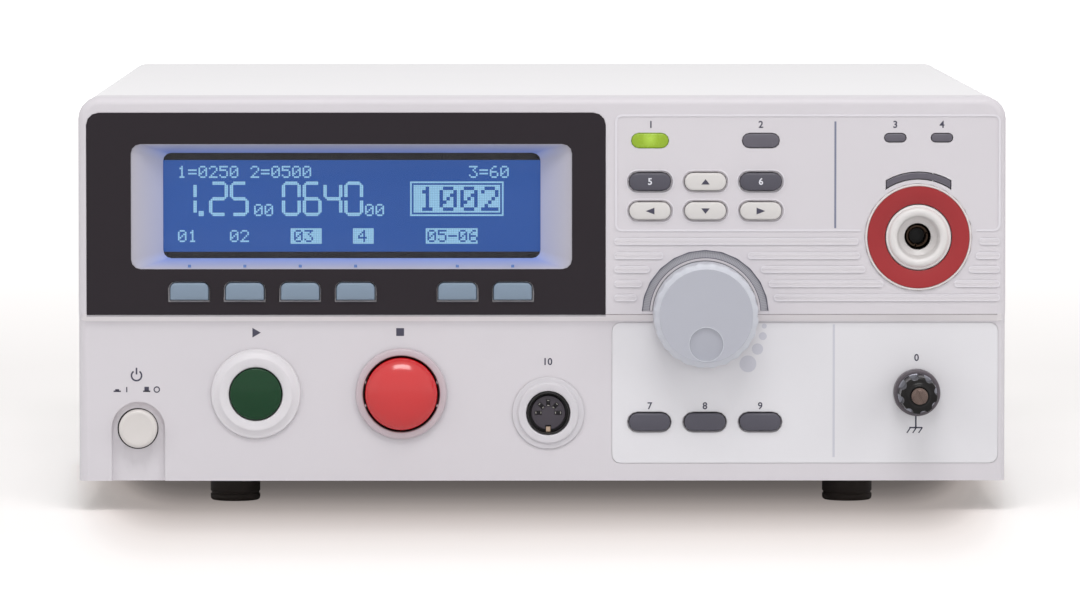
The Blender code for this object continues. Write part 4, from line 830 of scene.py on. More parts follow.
# The output is a red ring let into the panel round a collar of white insulating plastic.
# The collar has a rounded lip, and a deep bore with a sprung tube contact at its end. The
# bore's black lining and the dark contact are painted shade of the deep bore.
output_place = (0.1338, front_y, 0.0980)
red_ring = plastic("red_ring", (158, 40, 44), 0.34, grain=2400.0, depth=0.35, spread=0.05)
white_insulator = plastic("white_insulator", (224, 220, 219), 0.34, grain=5000.0, Coat_Weight=0.2)
profile = [(0.0181, 0.0006), *arc(0.0187, 0.0006, 0.0002, 150, 0, 3), (0.0189, -0.0007), (0.0119, -0.0007)]
profile += [(0.0119, 0.0008), (0.0122, 0.0010), (0.0180, 0.0010), (0.0181, 0.0006)]
add_turned("output_ring", profile, output_place, red_ring, "red_ring", steps=128, stands_for=["hv_ring"])
profile = [(0.0190, -0.0006), *arc(0.01855, 0.0004, 0.00045, 0, 180, 6)]
profile += [(0.0181, -0.0006), (0.0190, -0.0006)]
add_turned("output_rim", profile, output_place, white_insulator, "insulator", steps=128)
profile = [(0, -0.0160), (0.0047, -0.0160), (0.0047, -0.0056), *arc(0.0051, -0.0052, 0.0004, 180, 100, 3)]
profile += [(0.0066, -0.0040), (0.0071, -0.0034), (0.0075, 0.0008)]
profile += arc(0.0091, 0.0010, 0.0016, 170, 20, 9)
profile += [(0.0108, 0.0011), *arc(0.0111, 0.0005, 0.0005, 80, 0, 3), (0.0116, -0.0033)]
profile += [(0.0145, -0.0033), (0.0145, -0.0078), (0.0101, -0.0078), (0.0081, -0.0250), (0, -0.0250)]
add_turned(
    "output_collar", profile, output_place, white_insulator, "insulator",
    stands_for=["hv_socket"], softened=0.00008,
)


def metal(name, colour, roughness, scale=900.0, stretch=(1.0, 1.0, 1.0), depth=0.15):
    """A plated metal with fine marks, drawn out along an axis where it is brushed."""
    made = bpy.data.materials.new(name)
    made.use_nodes = True
    tree = Socket(made.node_tree)
    shader = made.node_tree.nodes["Principled BSDF"]
    places = tree.node("ShaderNodeTexCoord", {}, pick=3)
    drawn = tree.node("ShaderNodeMapping", {"Vector": places, "Scale": stretch})
    marks = tree.node("ShaderNodeTexNoise", {"Vector": drawn, "Scale": scale, "Detail": 4.0})
    haze = tree.node("ShaderNodeTexNoise", {"Vector": places, "Scale": 18.0, "Detail": 2.0})
    base = screen(colour)
    stops = [(0.3, [value * 0.93 for value in base]), (0.7, [min(1, value * 1.05) for value in base])]
    tint = tree.node("ShaderNodeValToRGB", {"Fac": haze}, stops=stops)
    bump = tree.node("ShaderNodeBump", {"Height": marks, "Strength": depth, "Distance": 0.00003})
    gloss = (marks - 0.5) * 0.14 + (haze - 0.5) * 0.08 + roughness
    tint.into(shader, "Base Color")
    gloss.into(shader, "Roughness")
    bump.into(shader, "Normal")
    shader.inputs["Metallic"].default_value = 1.0
    return made


nickel = metal("nickel_plate", (176, 172, 166), 0.24)
# Painted shade: the contact's brass is darkened, and the black lining stands for shade in the bore.
brass_painted_shade = metal("brass_painted_shade", (70, 58, 50), 0.34)
painted_shade_black = plastic("painted_shade_black", (24, 20, 22), 0.5, grain=3000.0)
profile = [(0, -0.0157), (0.0047, -0.0157), (0.0047, -0.0057)]
profile += [(0.0046, -0.0058), (0.0046, -0.0155), (0, -0.0155)]
add_turned("output_bore_shade", profile, output_place, painted_shade_black, "black_plastic", steps=64)
profile = [(0.0028, -0.0155), (0.0028, -0.0092), *arc(0.0036, -0.0092, 0.0008, 180, 0, 5)]
bm = lathe([*profile, (0.0044, -0.0155), (0.0028, -0.0155)], steps=48)
slit = bmesh.new()
for degrees in (20, 140, 260):
    verts = add_block(slit, (0.003, 0.0006, 0.005), (0.0036, 0, -0.0100))
    turn = Matrix.Rotation(math.radians(degrees), 3, "Z")
    bmesh.ops.rotate(slit, cent=(0, 0, 0), matrix=turn, verts=verts)
bm = carved(bm, slit)
on_front(bm, *output_place)
add_piece("output_contact", bm, brass_painted_shade, "nickel", stands_for=["hv_contact"], softened=0.00008)

# The start button is a glossy green cap, slightly domed, in a broad white collar that
# slopes back to the panel. The stop button is a taller red dome in a flat pink-grey ring.
button_z = 0.0421
start_x = -0.1020
stop_x = -0.0502
green_gloss = plastic("start_green", (6, 60, 32), 0.14, grain=300.0, depth=0.02, Specular_IOR_Level=0.35)
red_gloss = plastic("stop_red", (204, 10, 18), 0.17, grain=300.0, depth=0.02, Specular_IOR_Level=1.0)
collar_white = plastic("collar_white", (221, 217, 221), 0.36, grain=2600.0)
ring_pink = plastic("ring_pink_grey", (196, 181, 187), 0.36, grain=2600.0)

crown = 0.0245
start_place = (start_x, lower_y, button_z)
turns = (0, 0.08, 0.16, 0.24, 0.32)
profile = [(crown * math.sin(turn), 0.0042 - crown * (1 - math.cos(turn))) for turn in turns]
profile += [*arc(0.0084, 0.0022, 0.0008, 62, 0, 4), (0.0092, -0.0100), (0, -0.0100)]
add_turned(
    "start_cap", profile, start_place, green_gloss, "green_button",
    body="start_button", stands_for=["start_button"], smooth=50,
)
profile = [(0, -0.0123), (0.0095, -0.0123), (0.0095, 0.0018), *arc(0.0101, 0.0018, 0.0006, 180, 95, 3)]
profile += [(0.0120, 0.0026), *arc(0.0126, 0.0018, 0.0009, 90, 40, 4), (0.0149, 0.0012)]
profile += [*arc(0.0152, 0.0006, 0.0007, 60, 0, 3), (0.0160, 0.0003), (0.0109, 0.0003), (0.0109, -0.0153)]
add_turned(
    "start_shroud", [*profile, (0, -0.0153)], start_place, collar_white, "white_moulding", steps=128,
    stands_for=["start_collar"], smooth=40,
)

dome = 0.0129
stop_place = (stop_x, lower_y, button_z)
profile = [(0, 0.0080)]
for turn in (0.12, 0.24, 0.36, 0.48, 0.60, 0.74, 0.88, 1.02, 1.16, 1.30, 1.42):
    profile.append((dome * math.sin(turn), 0.0022 + 0.0058 * math.cos(turn)))
profile += [(dome, 0.0022), (dome, -0.0100), (0, -0.0100)]
add_turned(
    "stop_dome", profile, stop_place, red_gloss, "red_button", steps=128,
    body="stop_button", stands_for=["stop_button"], smooth=60,
)
profile = [(0, -0.0133), (0.0137, -0.0133), (0.0137, 0.0014), *arc(0.0141, 0.0018, 0.0004, 180, 90, 3)]
profile += [(0.0152, 0.0021), *arc(0.0153, 0.0012, 0.0009, 85, 0, 4), (0.0162, 0.0003), (0.0151, 0.0003)]
profile += [(0.0151, -0.0163), (0, -0.0163)]
add_turned(
    "stop_shroud", profile, stop_place, ring_pink, "grey_moulding", steps=128,
    stands_for=["stop_collar"], smooth=40,
)


def tube(inner, outer, low, high):
    """The closed profile of a plain tube."""
    return [(outer, low), (outer, high), (inner, high), (inner, low), (outer, low)]


# Painted shade: a black tube in the gap round the dome.
profile = tube(0.01345, 0.01366, -0.0132, 0.0012)
add_turned("stop_gap_shade", profile, stop_place, painted_shade_black, "black_plastic", steps=128)
tabs = bmesh.new()
for degrees in (18, 162, 198, 342):
    tab = bmesh.new()
    add_tablet(tab, (0.01318, -0.0020, -0.0004), (0.0136, -0.0010, 0.0004), 0.0001)
    turn = Matrix.Translation(stop_place) @ Matrix.Rotation(math.radians(degrees), 4, "Y")
    bmesh.ops.transform(tab, matrix=turn, verts=tab.verts[:])
    joined(tabs, tab)
add_piece("stop_tabs", tabs, ring_pink, "grey_moulding")

# The power button is a shallow off-white cap in an arched pocket. Its flange and the long
# rod that reaches the mains switch behind are one moulding with it.
power_place = (-0.1439, lower_y, 0.0298)
# Painted shade: a black ring in the gap round the cap.
gap_place = (-0.1441, lower_y, 0.0296)
add_turned("power_gap_shade", tube(0.0068, 0.0073, -0.0017, -0.0015), gap_place, painted_shade_black, "black_plastic")
profile = [(0, 0.0037), (0.0025, 0.00375), (0.0045, 0.0039), (0.0052, 0.0040)]
profile += [*arc(0.0056, 0.0028, 0.0012, 90, 0, 5), (0.00675, 0.0024), (0.00675, -0.0033)]
profile += [(0.00795, -0.0033), (0.00795, -0.0048), (0.0022, -0.0068), (0.0022, -0.0600), (0, -0.0600)]
cap_white = plastic("power_white", (216, 210, 207), 0.34, grain=4200.0, Coat_Weight=0.1)
add_turned(
    "power_cap", profile, power_place, cap_white, "pale_key", steps=72,
    body="power_button", stands_for=["power_button"], smooth=50,
)

# The remote socket is a round black connector: a barrel, a grooved insert with five sprung
# contacts and a keyway, all behind a white moulded ring with one raised ridge.
remote_place = (0.00215, lower_y, 0.0352)
ring_white = plastic("ring_white", (209, 205, 210), 0.34, grain=2600.0)
socket_black = plastic("socket_black", (24, 20, 21), 0.30, grain=3000.0)
insert_grey = plastic("insert_grey", (66, 60, 68), 0.42, grain=3000.0)
profile = [(0.0079, 0.0003), (0.0079, 0.0010), *arc(0.0083, 0.0012, 0.0004, 180, 90, 3)]
profile += [(0.0101, 0.00165), *arc(0.0103, 0.0012, 0.00045, 90, 10, 4), (0.0111, 0.0008)]
profile += [(0.0124, 0.0007), *arc(0.0125, 0.0004, 0.0003, 80, 0, 3), (0.0128, 0.0003), (0.0079, 0.0003)]
add_turned(
    "remote_bezel", profile, remote_place, ring_white, "white_moulding",
    stands_for=["remote_ring"], smooth=40,
)
profile = [(0, -0.0050), (0.0070, -0.0050), (0.0070, 0.0009), *arc(0.0073, 0.0009, 0.0003, 180, 0, 4)]
profile += [(0.0076, -0.0140), (0, -0.0140)]
add_turned(
    "remote_barrel", profile, remote_place, socket_black, "black_plastic", steps=72,
    stands_for=["remote_socket"], smooth=40,
)
profile = [(0, -0.0008), (0.0058, -0.0008), *arc(0.0058, -0.0012, 0.0004, 90, 0, 3)]
insert = lathe([*profile, (0.0062, -0.0049), (0, -0.0049)], steps=72)
slots = bmesh.new()
contacts = bmesh.new()
for number in range(5):
    turn = Matrix.Rotation(math.pi * number / 4, 3, "Z")
    verts = add_block(slots, (0.0025, 0.0015, 0.004), (0.0035, 0, -0.0010))
    bmesh.ops.rotate(slots, cent=(0, 0, 0), matrix=turn, verts=verts)
    for reach in (0.0026, 0.0044):
        verts = add_block(contacts, (0.0003, 0.0008, 0.0032), (reach, 0, -0.0027))
        bmesh.ops.rotate(contacts, cent=(0, 0, 0), matrix=turn, verts=verts)
add_block(slots, (0.0020, 0.0024, 0.006), (0, -0.0056, -0.002))
insert = carved(insert, slots)
on_front(insert, *remote_place)
add_piece("remote_insert", insert, insert_grey, "black_plastic", softened=0.00010)
on_front(contacts, *remote_place)
add_piece("remote_contacts", contacts, nickel, "nickel", softened=0.00005)
bm = bmesh.new()
add_block(bm, (0.0016, 0.0018, 0.0035), (0, -0.0059, -0.0027))
on_front(bm, *remote_place)
key_beige = plastic("keyway_beige", (196, 170, 148), 0.45, grain=3000.0)
add_piece("remote_keyway", bm, key_beige, "black_plastic", softened=0.00015)

# The return terminal is a nickel-plated stud through an insulated base, with a washer and
# a black nut. The nut is moulded with eight ribs for the fingers, and the stud is slotted.
terminal_place = (0.1334, lower_y, 0.0426)
base_grey = plastic("base_grey", (88, 81, 87), 0.40, grain=3000.0)
nut_black = plastic("nut_black", (17, 13, 13), 0.24, grain=3000.0, Specular_IOR_Level=0.3)
bore = 0.0032
profile = [(bore, 0.0055), (0.0071, 0.0055), *arc(0.0075, 0.0047, 0.0008, 85, 15, 4)]
profile += [(0.00835, 0.0008), (0.00835, 0.0005), (0.0045, 0.0005), (0.0045, -0.0060)]
profile += [(bore, -0.0060), (bore, 0.0055)]
add_turned(
    "terminal_base", profile, terminal_place, base_grey, "black_plastic", steps=72,
    stands_for=["return_base"], softened=0.00010,
)
profile = [(bore, 0.0068), (0.0068, 0.0068), *arc(0.0067, 0.0065, 0.0003, 90, 0, 3)]
profile += [(0.0070, 0.0058), (bore, 0.0058), (bore, 0.0068)]
bright_zinc = metal("bright_zinc", (160, 160, 170), 0.30)
add_turned(
    "terminal_washer", profile, terminal_place, bright_zinc, "nickel", steps=72,
    body="return_washer", stands_for=["return_washer"], softened=0.00006,
)
nut_low = 0.0071
nut_high = 0.0206
profile = [(bore, nut_high), (0.0034, nut_high), *arc(0.0034, nut_high - 0.0006, 0.0006, 90, 30, 3)]
profile += [(0.0044, nut_high - 0.0008), (0.0054, nut_high - 0.0010)]
profile += arc(0.0056, nut_high - 0.0020, 0.0010, 80, 0, 4)
profile += [(0.0068, nut_low + 0.0020), (0.0070, nut_low), (bore, nut_low), (bore, nut_high)]
bm = lathe(profile, steps=144)
flutes = bmesh.new()
flute_reach = 0.0071
for number in range(8):
    angle = 2 * math.pi * (number + 0.3) / 8
    place = (flute_reach * math.cos(angle), flute_reach * math.sin(angle), (nut_low + nut_high) / 2)
    centre = Matrix.Translation(place)
    bmesh.ops.create_cone(
        flutes, cap_ends=True, segments=24, radius1=0.0016, radius2=0.0016, depth=0.016, matrix=centre,
    )
bm = carved(bm, flutes)
on_front(bm, *terminal_place)
add_piece("terminal_nut", bm, nut_black, "black_plastic", "return_nut", ["return_nut"], softened=0.00015)
thread_pitch = 0.0008
thread_root = 0.0025
thread_end = 0.0205
stud_radius = 0.0029
stud_end = 0.0236
profile = [(0, stud_end), (0.0020, stud_end), (thread_root, stud_end - 0.0004)]
height = stud_end - thread_pitch
while height > thread_end:
    profile += [(stud_radius, height), (stud_radius, height - 0.0001), (thread_root, height - 0.0004)]
    height -= thread_pitch
profile += [(stud_radius, 0.0204), (stud_radius, -0.0120), (0, -0.0120)]
bm = lathe(profile, steps=48)
slot = bmesh.new()
verts = add_block(slot, (0.0008, 0.008, 0.0024), (0, 0, stud_end))
bmesh.ops.rotate(slot, cent=(0, 0, 0), matrix=Matrix.Rotation(math.radians(22), 3, "Z"), verts=verts)
bm = carved(bm, slot)
on_front(bm, *terminal_place)
stud_brass = metal("stud_brass", (118, 102, 96), 0.26)
add_piece("terminal_stud", bm, stud_brass, "nickel", stands_for=["return_stud"], smooth=25)

# Four straight lenses are pressed into the panel over their lamps, and a curved one over
# the output. They are of tinted clear plastic with a polished face, and one is lit.
lens_grey = plastic("lens_grey", (94, 90, 100), 0.26, grain=700.0, depth=0.04, Coat_Weight=0.3)
lens_places = {
    "lens_pass": (0.0383, 0.1324, 0.0130, 0.0050), "lens_fail": (0.0777, 0.1324, 0.0130, 0.0050),
    "lens_ready": (0.1255, 0.1334, 0.0075, 0.0029), "lens_test": (0.1421, 0.1334, 0.0075, 0.0029),
}
lens_lit = plastic("lens_lit", (122, 146, 30), 0.26, grain=700.0, depth=0.04, Coat_Weight=0.3)
tree = Socket(lens_lit.node_tree)
places = tree.node("ShaderNodeTexCoord", {}, pick=3)
heart = (lens_places["lens_pass"][0], front_y, lens_places["lens_pass"][1] + 0.0006)
reach = tree.node("ShaderNodeVectorMath", {0: places, 1: heart}, pick=1, operation="DISTANCE")
stops = [(0.0, screen((140, 168, 70))), (0.45, screen((92, 116, 16))), (1.0, screen((76, 98, 10)))]
glow = tree.node("ShaderNodeValToRGB", {"Fac": reach / 0.0068}, stops=stops)
shader = lens_lit.node_tree.nodes["Principled BSDF"]
glow.into(shader, "Emission Color")
shader.inputs["Emission Strength"].default_value = 1.0
for node, (x, z, width, height) in lens_places.items():
    corner = height / 2 - 1e-5
    bm = crowned_key((width, height), corner, corner, 0.0003, key_back, rim=0.0004)
    low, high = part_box(node)
    add_block(bm, (high.x - low.x, high.z - low.z, 0.0008), (0, 0, key_back - 0.0004))
    on_front(bm, x, front_y, z)
    material, slot = (lens_lit, "lit_lens") if node == "lens_pass" else (lens_grey, "unlit_lens")
    add_piece("window_" + node, bm, material, slot, stands_for=[node])
add_piece(
    "window_lens_output", from_solid("lens_output"), lens_grey, "unlit_lens",
    stands_for=["lens_output"], softened=0.00025, smooth=32,
)

# A crescent is let into the panel over the knob. Its floor is grey, with fine lines that
# run out from the axis and a darker line along its edge.
crescent_radius = 0.0226
crescent_low = 0.0718
scale_grey = plastic("crescent_grey", (168, 167, 174), 0.45)
tree = Socket(scale_grey.node_tree)
shader = scale_grey.node_tree.nodes["Principled BSDF"]
places = tree.node("ShaderNodeTexCoord", {}, pick=3)
offset = tree.node("ShaderNodeVectorMath", {0: places, 1: knob_place}, operation="SUBTRACT")
across = offset.part(0)
above = offset.part(2)
reach = tree.maths("SQRT", across * across + above * above)
angle = tree.maths("ARCTAN2", above, across)
line = tree.maths("SINE", angle * 220.0) * 0.5 + 0.5
stops = [(0.0, screen((152, 151, 158))), (1.0, screen((176, 175, 182)))]
hatch = tree.node("ShaderNodeValToRGB", {"Fac": line}, stops=stops)
hatch.into(shader, "Base Color")
tinted(scale_grey, reach > crescent_radius - 0.00045, (118, 118, 130))


def cut_low(bm):
    """Cuts off what lies under the crescent's lower edge, of a bmesh round the knob's axis."""
    geom = bm.verts[:] + bm.edges[:] + bm.faces[:]
    level = crescent_low - knob_place[2]
    bmesh.ops.bisect_plane(bm, geom=geom, plane_co=(0, level, 0), plane_no=(0, -1, 0), clear_outer=True)


bm = bmesh.new()
bmesh.ops.create_circle(bm, cap_ends=True, segments=128, radius=crescent_radius)
cut_low(bm)
raised = bmesh.ops.extrude_face_region(bm, geom=bm.faces[:])["geom"]
raised = [item for item in raised if isinstance(item, bmesh.types.BMVert)]
bmesh.ops.translate(bm, vec=(0, 0, 0.0001), verts=raised)
on_front(bm, knob_place[0], front_y + 0.00102, knob_place[2])
add_piece("crescent_floor", bm, scale_grey, "grey_moulding")

for name, material, inner, outer, rise in (
    ("crescent_step", white_plastic, 0.0189, 0.0197, 0.0007),
    ("crescent_line", print_ink, 0.0196, 0.0199, 0.0004),
):
    bm = lathe(tube(inner, outer, -0.001, -0.001 + rise), 128)
    cut_low(bm)
    bmesh.ops.holes_fill(bm, edges=[edge for edge in bm.edges if edge.is_boundary], sides=0)
    on_front(bm, *knob_place)
    add_piece(name, bm, material, "grey_moulding")

# The printing on the front is plain numbers and common pictograms, in thin ink: a triangle
# and a square over the two buttons, signs for power and for a chassis, and a few lines.
blue_ink = plastic("blue_grey_ink", (124, 127, 149), 0.55, grain=9000.0, depth=0.05)
light_ink = plastic("light_ink", (204, 203, 212), 0.55, grain=9000.0, depth=0.05)
film_y = lower_y - 0.0002


def add_figure(bm, text, x, z, height, y):
    """Adds upright figures, centred on a place of the front."""
    curve = bpy.data.curves.new("figure", "FONT")
    curve.body = text
    curve.size = height / 0.66
    curve.offset = 0.00007
    curve.align_x = "CENTER"
    curve.align_y = "CENTER"
    curve.extrude = ink_height
    curve.resolution_u = 3
    figure = bpy.data.objects.new("figure", curve)
    bpy.context.scene.collection.objects.link(figure)
    bpy.context.view_layer.update()
    mesh = bpy.data.meshes.new_from_object(figure.evaluated_get(bpy.context.evaluated_depsgraph_get()))
    mesh.transform(Matrix.Translation((x, y, z)) @ Matrix.Rotation(math.pi / 2, 4, "X"))
    bm.from_mesh(mesh)
    bpy.data.meshes.remove(mesh)
    bpy.data.objects.remove(figure)


def add_bar(bm, x, z, width, height, y, corner=0.0, steps=4):
    """Adds a printed bar, or a dot where its corner is half its size."""
    corner = corner or min(width, height) * 0.05
    low = (x - width / 2, y - ink_height, z - height / 2)
    add_tablet(bm, low, (x + width / 2, y + ink_height, z + height / 2), corner - 1e-6, steps=steps)


def add_loop(bm, x, z, radius, width, y, start=0.0, end=360.0, steps=40):
    """Adds a printed ring, or a part of one from start to end in degrees."""
    span = math.radians(end - start)
    verts = [bm.verts.new((radius + offset, 0, 0)) for offset in (-width / 2, width / 2)]
    bmesh.ops.rotate(
        bm, cent=(0, 0, 0), matrix=Matrix.Rotation(math.radians(start), 3, "Z"), verts=verts,
    )
    edge = bm.edges.new(verts)
    before = set(bm.verts) - set(verts)
    bmesh.ops.spin(
        bm, geom=[*verts, edge], cent=(0, 0, 0), axis=(0, 0, 1), dvec=(0, 0, 0), angle=span,
        steps=steps, use_merge=end - start == 360.0, use_duplicate=False,
    )
    fresh = [vert for vert in bm.verts if vert not in before]
    turn = Matrix.Translation((x, y - ink_height, z)) @ Matrix.Rotation(math.pi / 2, 4, "X")
    bmesh.ops.transform(bm, matrix=turn, verts=fresh)


def add_triangle(bm, x, z, size, y, degrees):
    """Adds a printed triangle. It points right at 0 degrees."""
    matrix = Matrix.Translation((x, y, z)) @ Matrix.Rotation(math.pi / 2, 4, "X")
    matrix = matrix @ Matrix.Rotation(math.radians(degrees - 90), 4, "Z")
    bmesh.ops.create_cone(
        bm, cap_ends=True, segments=3, radius1=size / 1.7, radius2=size / 1.7, depth=2 * ink_height,
        matrix=matrix,
    )


bm = bmesh.new()
for text, x, z, y in (
    ("1", 0.0386, 0.1380, front_y), ("2", 0.0777, 0.1380, front_y), ("3", 0.1255, 0.1380, front_y),
    ("4", 0.1421, 0.1380, front_y), ("7", 0.0383, 0.0376, film_y), ("8", 0.0580, 0.0376, film_y),
    ("9", 0.0777, 0.0376, film_y), ("10", 0.0019, 0.0534, lower_y), ("0", 0.1334, 0.0548, film_y),
):
    add_figure(bm, text, x, z, 0.0023, y)
add_triangle(bm, -0.1022, 0.0639, 0.0034, lower_y, 0.0)
add_bar(bm, -0.0506, 0.0641, 0.0028, 0.0028, lower_y)
add_loop(bm, -0.1445, 0.0486, 0.0018, 0.00058, lower_y, 125.0, 415.0)
add_bar(bm, -0.1445, 0.0502, 0.00058, 0.0024, lower_y)
add_bar(bm, -0.1514, 0.0430, 0.0026, 0.0005, lower_y)
add_bar(bm, -0.1514, 0.0434, 0.0014, 0.0007, lower_y)
add_bar(bm, -0.1480, 0.0436, 0.00042, 0.0019, lower_y)
add_bar(bm, -0.1409, 0.0437, 0.0016, 0.0018, lower_y)
add_bar(bm, -0.1409, 0.0430, 0.0026, 0.0005, lower_y)
add_loop(bm, -0.1373, 0.0436, 0.00095, 0.00042, lower_y)
add_bar(bm, 0.1332, 0.0320, 0.00055, 0.0042, film_y)
add_bar(bm, 0.1332, 0.0299, 0.0046, 0.00050, film_y)
for offset in (-0.0021, 0.0, 0.0021):
    bar = bmesh.new()
    add_bar(bar, 0.0, -0.0011, 0.00042, 0.0024, 0.0)
    turn = Matrix.Rotation(math.radians(34), 3, "Y")
    bmesh.ops.rotate(bar, cent=(0, 0, 0), matrix=turn, verts=bar.verts[:])
    bmesh.ops.translate(bar, vec=(0.1334 + offset, film_y, 0.0299), verts=bar.verts[:])
    joined(bm, bar)
add_piece("front_print", bm, print_ink, "dark_key")
bm = bmesh.new()
add_bar(bm, 0.1042, 0.1202, 0.0007, 0.0380, front_y)
add_piece("upper_line", bm, blue_ink, "grey_moulding")
# Painted shadow, not print: a dark line along the top of the step in the moulding.
bm = bmesh.new()
add_bar(bm, 0.0, 0.0705, 0.3240, 0.00028, front_y)
add_piece("step_shadow_line", bm, plastic("step_shadow", (150, 142, 146), 0.6), "grey_moulding")
# Painted light: small blue ticks at the foot of the display frame, for the display's light there.
bm = bmesh.new()
for x in soft_key_x:
    add_bar(bm, x, recess_low.z + 0.0009, 0.0011, 0.0010, front_y + 0.0016)
add_piece("display_light_ticks", bm, plastic("tick_painted_light", (104, 134, 196), 0.5), "grey_moulding")
bm = bmesh.new()
add_bar(bm, 0.1039, 0.0431, 0.0008, 0.0474, film_y)
for across, down, radius in (
    (0.0211, -0.0046, 0.0009), (0.0206, -0.0082, 0.0014), (0.0187, -0.0128, 0.0020),
    (0.0153, -0.0181, 0.0030),
):
    size = 2 * radius
    add_bar(bm, knob_place[0] + across, knob_place[2] + down, size, size, film_y, radius, steps=10)
add_piece("light_print", bm, light_ink, "pale_film")
for node, text in (("key_escape", "5"), ("key_field", "6")):
    bm = bmesh.new()
    add_figure(bm, text, key_places[node][0], key_places[node][1], 0.0022, front_y - key_proud - 0.00022)
    add_piece("number_" + node, bm, pale_ink, "pale_key", node)

# The cover and the tray are folded steel. The cover is powder coated in white, with an
# orange-peel surface, and the tray and the rear panel are zinc plated and left bare.
powder = plastic("powder_coat", (238, 236, 238), 0.50, grain=1400.0, depth=0.35, spread=0.006)
zinc = metal("zinc_plate", (176, 176, 172), 0.42, scale=500.0, stretch=(1.0, 0.15, 1.0))
rear_zinc = metal("zinc_plate_rear", (180, 180, 178), 0.40, scale=500.0, stretch=(0.15, 1.0, 1.0))
for node, name, material, slot in (
    ("top_cover", "folded_cover", powder, "white_paint"),
    ("bottom_chassis", "folded_tray", zinc, "plated_steel"),
    ("rear_panel", "rear_plate", rear_zinc, "plated_steel"),
):
    add_piece(name, from_solid(node), material, slot, stands_for=[node], softened=0.00025, smooth=32)


def pan_head(radius, height):
    """A bmesh of a cross-head screw, its underside at height 0, facing local +Z."""
    profile = [(0, height), (radius * 0.45, height * 0.94), (radius * 0.8, height * 0.68)]
    profile += [(radius * 0.97, height * 0.32), (radius, 0.0), (0, 0.0)]
    bm = lathe(profile, steps=32)
    for degrees in (20, 110):
        slot = bmesh.new()
        bmesh.ops.create_cube(slot, size=1.0)
        size = Matrix.Diagonal((radius * 1.1, radius * 0.24, height * 1.4, 1))
        turn = Matrix.Rotation(math.radians(degrees), 4, "Z") @ size
        turn = Matrix.Translation((0, 0, height * 1.2)) @ turn
        bmesh.ops.transform(slot, matrix=turn, verts=slot.verts[:])
        bm = carved(bm, slot)
    return bm


def repeated(source, places, turn):
    """A bmesh of copies of another, each turned and moved to its place."""
    mesh = bpy.data.meshes.new("copy")
    source.to_mesh(mesh)
    source.free()
    bm = bmesh.new()
    for place in places:
        copy = mesh.copy()
        copy.transform(Matrix.Translation(place) @ turn)
        bm.from_mesh(copy)
        bpy.data.meshes.remove(copy)
    return bm


rear_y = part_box("rear_panel")[1].y
cover_low, cover_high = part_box("top_cover")
to_rear = Matrix.Rotation(-math.pi / 2, 4, "X")
screw_steel = metal("screw_steel", (150, 148, 144), 0.30)
places = [(x, rear_y, z) for x in (-0.1560, 0.0, 0.1560) for z in (0.0180, 0.1400)]
screws = repeated(pan_head(0.0030, 0.0018), places, to_rear)
add_piece("rear_screws", screws, screw_steel, "nickel", smooth=30)
for side, end in (("left", cover_low.x), ("right", cover_high.x)):
    turn = Matrix.Rotation(math.copysign(math.pi / 2, end), 4, "Y")
    places = [(end, y, 0.0200) for y in (front_y + 0.050, (front_y + rear_y) / 2, rear_y - 0.030)]
    screws = repeated(pan_head(0.0030, 0.0007), places, turn)
    add_piece("screws_" + side, screws, screw_steel, "nickel", smooth=30)

# Each foot is a rubber bumper, dished underneath round the screw that holds it.
rubber = plastic("foot_rubber", (68, 60, 56), 0.70, grain=1600.0, depth=0.5, spread=0.08)
for end in ("front", "rear"):
    for side in ("left", "right"):
        low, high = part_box("foot_" + end + "_" + side)
        radius = (high.x - low.x) / 2
        profile = [(0, high.z), (radius, high.z), (radius, 0.0034), (radius - 0.0004, 0.0031)]
        profile += [(radius - 0.0004, 0.0026), (radius, 0.0023), (radius, 0.0012)]
        profile += [*arc(radius - 0.0012, 0.0012, 0.0012, 0, -90, 4), (0.0045, 0.0), (0.0038, 0.0016)]
        bm = lathe([*profile, (0, 0.0016)], steps=64)
        bmesh.ops.translate(bm, vec=((low.x + high.x) / 2, (low.y + high.y) / 2, 0), verts=bm.verts[:])
        add_piece(
            "rubber_" + end + "_" + side, bm, rubber, "black_rubber",
            stands_for=["foot_" + end + "_" + side],
        )

# The rear carries a boxed fan behind a wire guard, the mains inlet with its fuse drawer and
# a nine-way signal port. The guard is bent from plated wire and held by four screws.
fan_plastic = plastic("fan_plastic", (36, 34, 36), 0.48, grain=1800.0)
rotor_plastic = plastic("rotor_plastic", (44, 42, 44), 0.40, grain=1800.0)
inlet_plastic = plastic("inlet_plastic", (30, 28, 29), 0.36, grain=1800.0)
for node, name, material, body, rim in (
    ("fan_frame", "fan_housing", fan_plastic, "case", 0.0003),
    ("fan_rotor", "fan_impeller", rotor_plastic, "fan_rotor", 0.0),
    ("mains_inlet", "inlet_body", inlet_plastic, "case", 0.0002),
    ("fuse_drawer", "drawer_body", inlet_plastic, "fuse_drawer", 0.0002),
):
    add_piece(name, from_solid(node), material, "black_plastic", body, [node], softened=rim, smooth=32)
guard_low, guard_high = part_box("fan_guard")
fan_centre = (guard_low + guard_high) / 2
wire = 0.00095
bm = bmesh.new()
for radius in (0.0360, 0.0270, 0.0180, 0.0095):
    joined(bm, lathe(arc(radius, 0.0013, wire, 0, 360, 10), steps=80))
for number in range(4):
    verts = bmesh.ops.create_cone(
        bm, cap_ends=True, segments=12, radius1=wire * 0.85, radius2=wire * 0.85, depth=0.0420,
    )["verts"]
    turn = Matrix.Rotation(math.radians(45 + 90 * number), 4, "Z")
    turn = turn @ Matrix.Translation((0.0305, 0, 0.0013)) @ Matrix.Rotation(math.pi / 2, 4, "Y")
    bmesh.ops.transform(bm, matrix=turn, verts=verts)
to_fan = Matrix.Translation((fan_centre.x, rear_y, fan_centre.z)) @ to_rear
